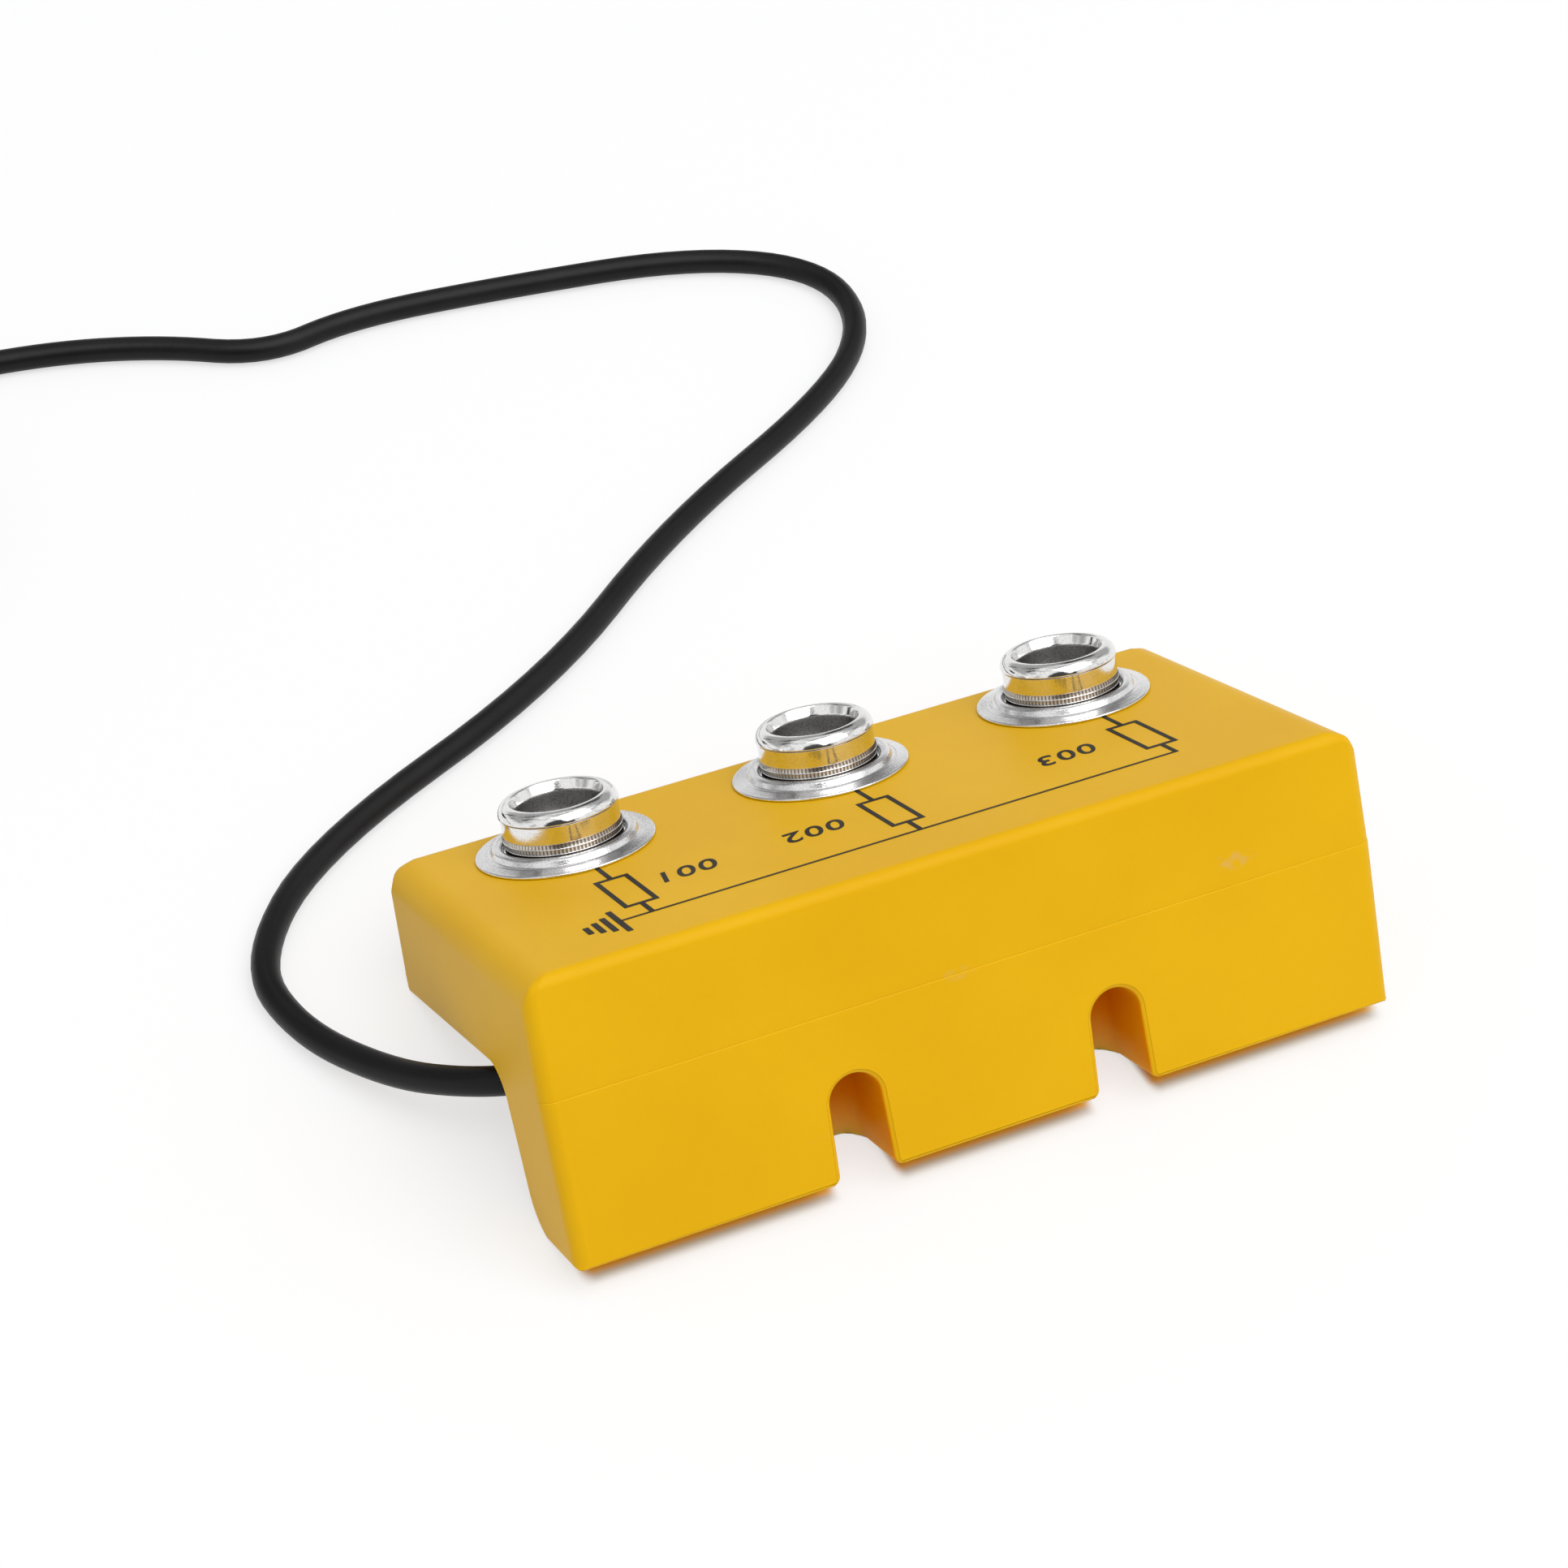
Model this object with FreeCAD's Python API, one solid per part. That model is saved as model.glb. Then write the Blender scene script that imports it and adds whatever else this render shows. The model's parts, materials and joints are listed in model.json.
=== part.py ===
# Earth bonding point: an L-shaped plastic block with three 10 mm press studs, each wired through its own
# resistor to a common wire, and a black earth lead that ends in a ring terminal.
#
# The pieces of the block are drawn in the block's own frame, in millimetres: x along the block with 0 at its
# middle, y from the mounting face towards the back, z from the bottom of the leg up to the stud face.
# Then the whole block is leaned back until it stands on the leg's rounded back edge and the slab's back
# edge, as it does when it is laid on a bench. The lead lies on the bench, in that second frame.
import FreeCAD, Part
import math
import os

from FreeCAD import Placement, Rotation, Vector

# Block, outside
block_length = 72.7
block_depth = 36.0
block_height = 24.05
slab_thickness = 10.4        # where it meets the leg
slab_thickness_back = 11.55
seam_height = 0.5            # of the parting line above the slab's underside at the leg
leg_thickness_top = 10.5
leg_thickness_bottom = 9.2
end_draft_top = 0.25         # how much narrower each end is at the stud face than at the seam
end_draft_bottom = 0.1       # and at the bottom of the leg
back_draft = 0.3
front_top_round = 1.0
end_top_round = 2.6
back_top_round = 2.2
front_corner_round = 1.2
back_corner_round = 1.0
leg_front_round = 0.3
leg_back_round = 3.5
leg_end_round = 0.6
slab_back_round = 1.4
inner_corner_round = 2.6

# Shells
housing_wall = 2.0
housing_top = 2.5
cavity_corner_round = 1.0
tongue_clearance = 0.15
tongue_height = 1.15         # of the base plate above the seam, inside the housing
peg_radius = 1.4
peg_clearance = 0.1
socket_wall = 0.9
peg_inset_x = 5.6
peg_inset_front = 6.0
peg_inset_back = 5.6
peg_tip_gap = 0.3

# Slots in the leg, open in front and below
slot_back_wall = 1.6         # that closes each slot behind, measured at the leg's foot
slot_width = 4.4
slot_depth = 8.7
slot_spacing = 23.0
slot_mouth_round = 0.7
slot_draft = 0.15            # how much each side stands off at the mouth, past half the width

# Studs
stud_count_each_side = 1
stud_spacing = 23.0
stud_row = 26.4              # from the mounting face
stud_radius = 5.0
stud_neck_radius = 4.86
stud_height = 4.5
stud_bore_radius = 3.55
stud_sheet = 0.65
stud_foot_height = 0.65      # of the straight foot above its seat on the flange
bead_drop = 1.2              # of the bead's flat band below the crown
bead_land = 1.2
shoulder_bulge = 0.15        # of the bead's shoulder, out from its chord
crown_radius = 4.22
crown_half_width = 0.2
crown_drop = 0.08            # of the crown's sides below its top
funnel_depth = 0.8           # of the crown's inner slope, down to the bore
flange_radius = 7.5
flange_edge = 0.36
flange_seat = 0.45
flange_ridge_radius = 5.65
flange_ridge_height = 1.25
flange_ridge_half_width = 0.42
flange_ridge_foot = 0.85
flange_hollow = 0.05         # of the cone between the edge and the ridge, in from its chord
flange_gap = 0.1             # between the ridge's inner foot and the post

# Rivets, tags and wiring
rivet_radius = 2.0
rivet_clearance = 0.1
rivet_bore_radius = 1.5
rivet_foot_radius = 3.2
rivet_sheet = 0.4
rivet_head_radius = 2.8
rivet_head_height = 0.6
rivet_head_bulge = 0.12
tag_radius = 3.6
tag_sheet = 0.4
tag_tongue_width = 2.0
tag_tongue_reach = 5.4       # from the stud's axis to the bent tip's far face
tag_past_wire = 1.2          # of the bent tip below the wires' axes
wire_drop = 5.7              # of the wires' axes below the stud face
resistor_radius = 1.15
resistor_length = 6.3
resistor_waist = 0.86        # of the body between its end caps, as a share of the caps' radius
resistor_cap_share = 0.25
resistor_edge_share = 0.35
resistor_centre = 14.6       # from the mounting face
lead_radius = 0.3
lead_clearance = 0.08
lead_past_tag = 0.8
bus_radius = 0.4
bus_from_front = 8.6
bus_overhang = 1.6           # past the outer resistors
solder_radius = 0.85

# Lead outlet under the slab
cord_diameter = 2.5
outlet_axis_from_leg = 2.6   # from the leg's inner face
outlet_axis_below_slab = 2.75
outlet_inset = 16.35         # of the boss's open end from the block's end
outlet_length = 11.0
outlet_half_width = 2.8
outlet_floor = 2.6           # of the boss below the lead's axis
riser_inset = 7.5            # of the riser's axis from the boss's open end
riser_bend = 3.0
cord_clearance = 0.15
relief_collar_radius = 2.1
relief_collar_length = 3.0
relief_length = 8.0
relief_root_radius = 2.15
relief_tip_radius = 1.75
relief_bore_clearance = 0.05
conductor_radius = 0.5
jacket_past_plate = 0.9

# Route of the lead on the bench, in the leaned frame, from the strain relief's tip to the coil
cord_route = [
    (-28.0, -4.5, 7.37),
    (-33.0, -4.5, 7.37),
    (-37.4, -1.3, 5.7),
    (-41.9, 4.7, 3.0),
    (-46.6, 14.0, 1.25),
    (-47.6, 23.4, 1.25),
    (-37.8, 35.0, 1.25),
    (-10.9, 47.8, 1.25),
    (8.1, 64.5, 1.25),
    (32.2, 78.6, 1.25),
    (41.0, 89.2, 1.25),
    (40.7, 100.1, 1.25),
    (29.0, 107.5, 1.25),
    (8.8, 110.2, 1.25),
    (-7.5, 111.4, 1.25),
    (-17.8, 108.5, 1.25),
    (-27.3, 114.5, 1.25),
    (-39.3, 118.2, 1.25),
    (-54.0, 119.0, 1.25),
    (-67.5, 117.86, 1.25),
    (-73.5, 117.86, 1.25),
]

# Coil of the lead's put-away length
coil_centre = (-76.0, 98.5)
coil_middle_radius = 14.2
coil_pitch = 2.95            # between turns and between layers
coil_turns_per_layer = 3.5
coil_layers = 4
coil_turns_left_out = 0.75   # of the last layer
coil_start_angle = 90.0
coil_end_straight = 2.5
coil_step = 0.25             # of a turn, between the places where the coil's arcs meet
coil_climb = 0.5             # of a turn, over which the line climbs to the next layer

# Route from the coil's end down to the ring terminal
tail_route = [
    (-93.15, 96.0, 10.1),
    (-93.15, 86.5, 10.1),
    (-93.7, 77.5, 6.0),
    (-93.0, 67.5, 2.3),
    (-91.8, 59.5, 1.9),
    (-90.9, 51.8, 1.9),
]

# Ring terminal
sleeve_radius = 1.9
sleeve_length = 9.0
sleeve_over_cord = 3.5
barrel_radius = 1.35
barrel_length = 5.0
barrel_clearance = 0.05
ring_sheet = 0.8
ring_radius = 4.8
ring_hole_radius = 2.65
ring_reach = 9.5             # from the sleeve's end to the hole's axis
ring_neck_width = 3.2
neck_root_width = 2.5
neck_in_barrel = 1.2

# How far a cutting tool runs past the surface that it cuts, and how far joined pieces run into each other
margin = 1.0
overlap = 0.5
tiny = 1e-3

# Heights and places that follow from the sizes above
underside = block_height - slab_thickness
underside_back = block_height - slab_thickness_back
seam = underside + seam_height
plate_top = seam + tongue_height
ceiling = block_height - housing_top
half_length = block_length / 2
cord_radius = cord_diameter / 2
wire_height = block_height - wire_drop
outlet_y = leg_thickness_top + outlet_axis_from_leg
outlet_z = underside - outlet_axis_below_slab
outlet_face = -half_length + outlet_inset
riser_x = outlet_face + riser_inset
stud_sides = range(-stud_count_each_side, stud_count_each_side + 1)
stud_names = {-1: "left", 0: "middle", 1: "right"}

os.makedirs("parts", exist_ok=True)


def corner_arc(before, corner, after, radius):
    """Tangent points, middle and centre of the rounding of one corner of a flat outline."""
    to_before = (before - corner).normalize()
    to_after = (after - corner).normalize()
    half = to_before.getAngle(to_after) / 2
    reach = radius / math.tan(half)
    inward = (to_before + to_after).normalize()
    centre = corner + inward * (radius / math.sin(half))
    return corner + to_before * reach, centre - inward * radius, corner + to_after * reach, centre


def rounded_outline(corners):
    """Closed wire through corners given as (point, radius), each rounded where its radius isn't zero."""
    points = [corner for corner, _ in corners]
    radii = [radius for _, radius in corners]
    count = len(points)
    edges = []
    starts = []
    ends = []
    arcs = []
    for i in range(count):
        if radii[i] > 0:
            first, middle, last, _ = corner_arc(points[i - 1], points[i], points[(i + 1) % count], radii[i])
            arcs.append(Part.Arc(first, middle, last).toShape())
            starts.append(first)
            ends.append(last)
        else:
            arcs.append(None)
            starts.append(points[i])
            ends.append(points[i])
    for i in range(count):
        if arcs[i]:
            edges.append(arcs[i])
        edges.append(Part.makeLine(ends[i], starts[(i + 1) % count]))
    return Part.Wire(edges)


def prism(outline, along):
    return Part.Face(outline).extrude(along)


def cylinder(radius, length, start, axis):
    return Part.makeCylinder(radius, length, start, axis)


def bar(low, high):
    """Block between two corners."""
    size = high - low
    return Part.makeBox(size.x, size.y, size.z, low)


def turned(profile):
    """Solid of revolution about z of a closed profile of (r, z) points; a point named "arc" bends the line."""
    edges = []
    count = len(profile)
    i = 0
    while i < count:
        here = profile[i]
        following = profile[(i + 1) % count]
        if len(following) == 3:
            last = profile[(i + 2) % count]
            edges.append(Part.Arc(spot(here), spot(following), spot(last)).toShape())
            i += 2
        else:
            edges.append(Part.makeLine(spot(here), spot(following)))
            i += 1
    return Part.Face(Part.Wire(edges)).revolve(Vector(0, 0, 0), Vector(0, 0, 1), 360)


def spot(point):
    return Vector(point[0], 0, point[1])


def bulged(start, end, bulge):
    """Middle of an arc that stands out by bulge from its chord, on the right-hand side of its way."""
    across = end[0] - start[0]
    rise = end[1] - start[1]
    share = bulge / math.hypot(across, rise)
    return (start[0] + end[0]) / 2 + rise * share, (start[1] + end[1]) / 2 - across * share, "arc"


def side_corners():
    """Outline of the L seen from its end, in the plane of y and z, with the radius of each corner."""
    corners = [
        ((0, 0), leg_front_round),
        ((0, block_height), front_top_round),
        ((block_depth - back_draft, block_height), back_top_round),
        ((block_depth, seam), 0),
        ((block_depth, underside_back), slab_back_round),
        ((leg_thickness_top, underside), inner_corner_round),
        ((leg_thickness_bottom, 0), leg_back_round),
    ]
    return [(Vector(-half_length - margin, y, z), radius) for (y, z), radius in corners]


def outer_block():
    """The whole outside of the block, before it is parted at the seam."""
    side = prism(rounded_outline(side_corners()), Vector(block_length + 2 * margin, 0, 0))
    half_top = half_length - end_draft_top
    half_bottom = half_length - end_draft_bottom
    front_corners = [
        ((-half_bottom, 0), leg_end_round),
        ((-half_length, seam), 0),
        ((-half_top, block_height), end_top_round),
        ((half_top, block_height), end_top_round),
        ((half_length, seam), 0),
        ((half_bottom, 0), leg_end_round),
    ]
    front = prism(
        rounded_outline([(Vector(x, -margin, z), radius) for (x, z), radius in front_corners]),
        Vector(0, block_depth + 2 * margin, 0),
    )
    plan_corners = [
        ((-half_length, 0), front_corner_round),
        ((half_length, 0), front_corner_round),
        ((half_length, block_depth), back_corner_round),
        ((-half_length, block_depth), back_corner_round),
    ]
    plan = prism(
        rounded_outline([(Vector(x, y, -margin), radius) for (x, y), radius in plan_corners]),
        Vector(0, 0, block_height + 2 * margin),
    )
    return side.common(front).common(plan)


def cavity(inset, low, high):
    """Space inside the housing's walls, smaller all round by inset, between two heights."""
    x = half_length - housing_wall - inset
    front = housing_wall + inset
    back = block_depth - housing_wall - inset
    corners = [(-x, front), (x, front), (x, back), (-x, back)]
    outline = rounded_outline([(Vector(cx, cy, low), cavity_corner_round) for cx, cy in corners])
    return prism(outline, Vector(0, 0, high - low))


def peg_places():
    x = half_length - peg_inset_x
    return [(sx * x, y) for sx in (-1, 1) for y in (peg_inset_front, block_depth - peg_inset_back)]


def stud_place(side):
    return Vector(side * stud_spacing, stud_row, block_height)


def housing(outside):
    past = Vector(half_length + margin, block_depth + margin, block_height + margin)
    above = bar(Vector(-past.x, -margin, seam), past)
    shell = outside.common(above).cut(cavity(0, seam - margin, ceiling))
    up = Vector(0, 0, 1)
    for x, y in peg_places():
        foot = Vector(x, y, plate_top + peg_clearance)
        length = ceiling - foot.z + overlap
        socket = cylinder(peg_radius + peg_clearance + socket_wall, length, foot, up)
        shell = shell.fuse(socket)
    for x, y in peg_places():
        foot = Vector(x, y, plate_top)
        shell = shell.cut(cylinder(peg_radius + peg_clearance, ceiling - plate_top, foot, up))
    for side in stud_sides:
        centre = stud_place(side)
        hole_start = Vector(centre.x, centre.y, ceiling - margin)
        shell = shell.cut(cylinder(rivet_radius + rivet_clearance, housing_top + 2 * margin, hole_start, up))
    return shell.removeSplitter()


def slot(centre_x):
    """Slot in the leg's front, a little wider at the leg's foot, with rounded corners at its mouth."""
    reach = leg_thickness_bottom - slot_back_wall
    half = slot_width / 2
    foot = half + slot_draft
    straight = slot_depth - half
    r = slot_mouth_round
    ease = r * (1 - math.sqrt(0.5))

    def at(x, z):
        return Vector(centre_x + x, -margin, z)

    edges = [
        Part.Arc(at(-foot - r, 0), at(-foot - ease, ease), at(-foot, r)).toShape(),
        Part.makeLine(at(-foot, r), at(-half, straight)),
        Part.Arc(at(-half, straight), at(0, slot_depth), at(half, straight)).toShape(),
        Part.makeLine(at(half, straight), at(foot, r)),
        Part.Arc(at(foot, r), at(foot + ease, ease), at(foot + r, 0)).toShape(),
        Part.makeLine(at(foot + r, 0), at(foot + r, -margin)),
        Part.makeLine(at(foot + r, -margin), at(-foot - r, -margin)),
        Part.makeLine(at(-foot - r, -margin), at(-foot - r, 0)),
    ]
    return prism(Part.Wire(edges), Vector(0, reach + margin, 0))


def riser_tube(radius, start_x, top):
    """Round bar along the outlet's axis from start_x, bending up through the base plate to a height."""
    bend_start = Vector(riser_x - riser_bend, outlet_y, outlet_z)
    bend_end = Vector(riser_x, outlet_y, outlet_z + riser_bend)
    slack = riser_bend * (1 - math.sqrt(0.5))
    bend_middle = Vector(riser_x - slack, outlet_y, outlet_z + slack)
    start = Vector(start_x, outlet_y, outlet_z)
    path = Part.Wire([
        Part.makeLine(start, bend_start),
        Part.Arc(bend_start, bend_middle, bend_end).toShape(),
        Part.makeLine(bend_end, Vector(riser_x, outlet_y, top)),
    ])
    return swept_round(path, start, Vector(1, 0, 0), radius)


def swept_round(path, start, direction, radius):
    ring = Part.Wire([Part.makeCircle(radius, start, direction)])
    return path.makePipeShell([ring], True, False)


def base(outside):
    low = Vector(-half_length - margin, -margin, -margin)
    below = bar(low, Vector(half_length + margin, block_depth + margin, seam))
    plate = outside.common(below).fuse(cavity(tongue_clearance, seam - overlap, plate_top))
    up = Vector(0, 0, 1)
    for x, y in peg_places():
        length = ceiling - peg_tip_gap - plate_top + overlap
        plate = plate.fuse(cylinder(peg_radius, length, Vector(x, y, plate_top - overlap), up))
    boss = bar(
        Vector(outlet_face, leg_thickness_bottom, outlet_z - outlet_floor),
        Vector(outlet_face + outlet_length, outlet_y + outlet_half_width, underside + overlap),
    )
    plate = plate.fuse(boss)
    for offset in (-slot_spacing / 2, slot_spacing / 2):
        plate = plate.cut(slot(offset))
    plate = plate.cut(riser_tube(cord_radius + cord_clearance, outlet_face - margin, plate_top + margin))
    socket_start = Vector(outlet_face - margin, outlet_y, outlet_z)
    socket_radius = relief_collar_radius + relief_bore_clearance
    plate = plate.cut(cylinder(socket_radius, relief_collar_length + margin, socket_start, Vector(1, 0, 0)))
    return plate.removeSplitter()


def strain_relief():
    """Collar in the boss and a tapered sleeve outside it, bored for the lead."""
    along = Vector(1, 0, 0)
    face = Vector(outlet_face, outlet_y, outlet_z)
    tip = face - along * relief_length
    sleeve = Part.makeCone(relief_tip_radius, relief_root_radius, relief_length, tip, along)
    collar = cylinder(relief_collar_radius, relief_collar_length, face, along)
    bore_radius = cord_radius + relief_bore_clearance
    bore_length = relief_length + relief_collar_length + 2 * margin
    bore = cylinder(bore_radius, bore_length, tip - along * margin, along)
    return sleeve.fuse(collar).cut(bore).removeSplitter()


def stud_post():
    """Drawn post: straight foot, waist, bead with a flat band, rolled crown and a slope into the bore."""
    floor = flange_seat + stud_sheet
    foot = (stud_radius, flange_seat + stud_foot_height)
    land_high = (stud_radius, stud_height - bead_drop)
    land_low = (stud_radius, stud_height - bead_drop - bead_land)
    crown_out = (crown_radius + crown_half_width, stud_height - crown_drop)
    crown_in = (crown_radius - crown_half_width, stud_height - crown_drop)
    return turned([
        (rivet_radius + rivet_clearance, flange_seat),
        (stud_radius, flange_seat),
        foot,
        bulged(foot, land_low, stud_neck_radius - stud_radius),
        land_low,
        land_high,
        bulged(land_high, crown_out, shoulder_bulge),
        crown_out,
        bulged(crown_out, crown_in, crown_drop),
        crown_in,
        (stud_bore_radius, stud_height - funnel_depth),
        (stud_bore_radius, floor),
        (rivet_radius + rivet_clearance, floor),
    ])


def stud_flange():
    """Sheet ring with a rounded edge, a hollow cone and a rolled ridge round the post's foot."""
    edge_low = (flange_radius - flange_edge / 2, 0)
    edge_high = (flange_radius - flange_edge / 2, flange_edge)
    ridge_out = (flange_ridge_radius + flange_ridge_half_width, flange_ridge_foot)
    ridge_in = (flange_ridge_radius - flange_ridge_half_width, flange_ridge_foot)
    return turned([
        (rivet_radius + rivet_clearance, 0),
        edge_low,
        bulged(edge_low, edge_high, flange_edge / 2),
        edge_high,
        bulged(edge_high, ridge_out, -flange_hollow),
        ridge_out,
        bulged(ridge_out, ridge_in, flange_ridge_height - flange_ridge_foot),
        ridge_in,
        (stud_radius + flange_gap, flange_seat),
        (rivet_radius + rivet_clearance, flange_seat),
    ])


def rivet():
    """Tubular rivet: foot under the solder tag, barrel through the housing, head spread inside the stud."""
    foot_top = -housing_top - tag_sheet
    foot = foot_top - rivet_sheet
    seat = flange_seat + stud_sheet
    head_out = (rivet_head_radius, seat)
    head_top = (rivet_radius, seat + rivet_head_height)
    return turned([
        (rivet_bore_radius, foot),
        (rivet_foot_radius, foot),
        (rivet_foot_radius, foot_top),
        (rivet_radius, foot_top),
        (rivet_radius, seat),
        head_out,
        bulged(head_out, head_top, rivet_head_bulge),
        head_top,
        (rivet_bore_radius, seat + rivet_sheet),
    ])


def solder_tag():
    """Ring under the housing's top with a tongue bent down to take the resistor's wire."""
    top = -housing_top
    drop = wire_drop - housing_top + tag_past_wire
    down = Vector(0, 0, -1)
    half = tag_tongue_width / 2
    tongue_end = -tag_tongue_reach
    ring = cylinder(tag_radius, tag_sheet, Vector(0, 0, top), down)
    tongue = bar(Vector(-half, tongue_end, top - tag_sheet), Vector(half, -rivet_radius, top))
    bent = bar(Vector(-half, tongue_end, top - drop), Vector(half, tongue_end + tag_sheet, top))
    tag = ring.fuse(tongue).fuse(bent)
    through = tag_sheet + 2 * margin
    tag = tag.cut(cylinder(rivet_radius + rivet_clearance, through, Vector(0, 0, top + margin), down))
    eye_start = Vector(0, tongue_end - margin, -wire_drop)
    tag = tag.cut(cylinder(lead_radius + lead_clearance, through, eye_start, Vector(0, 1, 0)))
    return tag.removeSplitter()


def resistor_body(x):
    """Moulded body with two slightly thicker end caps."""
    along = Vector(0, 1, 0)
    start = Vector(x, resistor_centre - resistor_length / 2, wire_height)
    end = start + along * resistor_length
    cap = resistor_length * resistor_cap_share
    body = cylinder(resistor_radius * resistor_waist, resistor_length, start, along)
    first = cylinder(resistor_radius, cap, start, along)
    second = cylinder(resistor_radius, cap, end - along * cap, along)
    body = body.fuse(first).fuse(second).removeSplitter()
    rims = [edge for edge in body.Edges if edge.BoundBox.YLength < tiny]
    outer = [rim for rim in rims if min(abs(rim.BoundBox.YMin - at.y) for at in (start, end)) < tiny]
    return body.makeFillet(resistor_radius * resistor_edge_share, outer)


def resistor_leads(x):
    """Two tinned wires, from the body to the tag's eye and from the body to the common wire."""
    along = Vector(0, 1, 0)
    back_start = resistor_centre + resistor_length / 2
    tag_face = stud_row - tag_tongue_reach + tag_sheet
    back_length = tag_face + lead_past_tag - back_start
    front_start = bus_from_front + bus_radius
    front_length = resistor_centre - resistor_length / 2 - front_start
    back = cylinder(lead_radius, back_length, Vector(x, back_start, wire_height), along)
    front = cylinder(lead_radius, front_length, Vector(x, front_start, wire_height), along)
    return Part.makeCompound([back, front])


def bus_wire():
    reach = stud_count_each_side * stud_spacing + bus_overhang
    start = Vector(-reach, bus_from_front, wire_height)
    return cylinder(bus_radius, 2 * reach, start, Vector(1, 0, 0))


def cable_inside():
    return riser_tube(cord_radius, outlet_face - relief_length, plate_top + jacket_past_plate)


def conductor():
    """Bare strand from the jacket's end up to the wires' height and forward to the common wire."""
    low = Vector(riser_x, outlet_y, plate_top + jacket_past_plate)
    bend = (outlet_y - bus_from_front - bus_radius) / 2
    slack = bend * (1 - math.sqrt(0.5))
    bend_start = Vector(riser_x, outlet_y, wire_height - bend)
    bend_end = Vector(riser_x, outlet_y - bend, wire_height)
    middle = Vector(riser_x, outlet_y - slack, wire_height - slack)
    path = Part.Wire([
        Part.makeLine(low, bend_start),
        Part.Arc(bend_start, middle, bend_end).toShape(),
        Part.makeLine(bend_end, Vector(riser_x, bus_from_front + bus_radius, wire_height)),
    ])
    return swept_round(path, low, Vector(0, 0, 1), conductor_radius)


def solder_joints(wires):
    """A bead of solder round the common wire where each resistor and the lead's strand meet it."""
    beads = []
    for x in [side * stud_spacing for side in stud_sides] + [riser_x]:
        bead = Part.makeSphere(solder_radius, Vector(x, bus_from_front + bus_radius, wire_height))
        for wire in wires:
            bead = bead.cut(wire)
        beads.append(bead)
    return Part.makeCompound(beads)


def lean():
    """Angle at which the block rests on the roundings of the leg's back edge and the slab's back edge."""
    corners = side_corners()
    slab = corner_arc(corners[3][0], corners[4][0], corners[5][0], slab_back_round)[3]
    leg = corner_arc(corners[5][0], corners[6][0], corners[0][0], leg_back_round)[3]
    across = slab - leg
    rise = math.atan2(across.z, across.y)
    return rise + math.asin((leg_back_round - slab_back_round) / math.hypot(across.y, across.z))


def moved(shape, placement):
    return shape.transformed(placement.toMatrix(), True)


def stations():
    """The nodes that repeat at each stud, in the block's frame."""
    nodes = {}
    shapes = {
        "stud_flange": stud_flange(),
        "stud_post": stud_post(),
        "rivet_eyelet": rivet(),
        "solder_tag": solder_tag(),
    }
    for side in stud_sides:
        name = stud_names.get(side, "number_%d" % (side + stud_count_each_side))
        place = Placement(stud_place(side), Rotation())
        for kind, shape in shapes.items():
            nodes["%s_%s" % (kind, name)] = moved(shape, place)
        nodes["resistor_body_" + name] = resistor_body(side * stud_spacing)
        nodes["resistor_leads_" + name] = resistor_leads(side * stud_spacing)
    return nodes


def block():
    """Every node of the block, in its own frame."""
    outside = outer_block()
    nodes = {"stud_housing": housing(outside), "mounting_base": base(outside)}
    nodes.update(stations())
    nodes["strain_relief"] = strain_relief()
    nodes["cable_inside"] = cable_inside()
    nodes["cable_conductor"] = conductor()
    nodes["bus_wire"] = bus_wire()
    wires = [shape for name, shape in nodes.items() if "leads" in name]
    wires += [nodes["bus_wire"], nodes["cable_conductor"]]
    nodes["solder_joints"] = solder_joints(wires)
    return nodes


def stand(nodes):
    """Lean the block back and stand it on z = 0, over the middle of its bounding box."""
    leaned = Placement(Vector(0, 0, 0), Rotation(Vector(1, 0, 0), -math.degrees(lean())))
    shells = [moved(nodes[name], leaned) for name in ("stud_housing", "mounting_base")]
    box = Part.makeCompound(shells).optimalBoundingBox(False, False)
    middle = Vector((box.XMin + box.XMax) / 2, (box.YMin + box.YMax) / 2, box.ZMin)
    place = Placement(middle.negative(), Rotation()).multiply(leaned)
    print("lean %.3f degrees, shift y %.4f z %.4f" % (math.degrees(lean()), -middle.y, -middle.z))
    return {name: moved(shape, place) for name, shape in nodes.items()}


def free_tube(name, points):
    """Tube of the lead along straight runs joined by tangent arcs, with its radii and volume printed."""
    route = [Vector(*point) for point in points]
    runs = [(b - a).Length for a, b in zip(route, route[1:])]
    edges = []
    radii = []
    here = route[0]
    length = 0.0
    for i in range(1, len(route) - 1):
        ahead = (route[i + 1] - route[i]).normalize()
        behind = (route[i - 1] - route[i]).normalize()
        turn = math.pi - behind.getAngle(ahead)
        radius = 0.45 * min(runs[i - 1], runs[i]) / math.tan(turn / 2)
        first, middle, last, _ = corner_arc(route[i - 1], route[i], route[i + 1], radius)
        edges.append(Part.makeLine(here, first))
        edges.append(Part.Arc(first, middle, last).toShape())
        length += (first - here).Length + radius * turn
        radii.append(radius)
        here = last
    edges.append(Part.makeLine(here, route[-1]))
    length += (route[-1] - here).Length
    tube = swept_round(Part.Wire(edges), route[0], route[1] - route[0], cord_radius)
    section = math.pi * cord_radius ** 2
    print(name, "runs", [round(run, 1) for run in runs])
    print(name, "radii", [round(radius, 1) for radius in radii])
    print(name, "length %.1f volume %.2f section x length %.2f" % (length, tube.Volume, section * length))
    return tube, length


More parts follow.
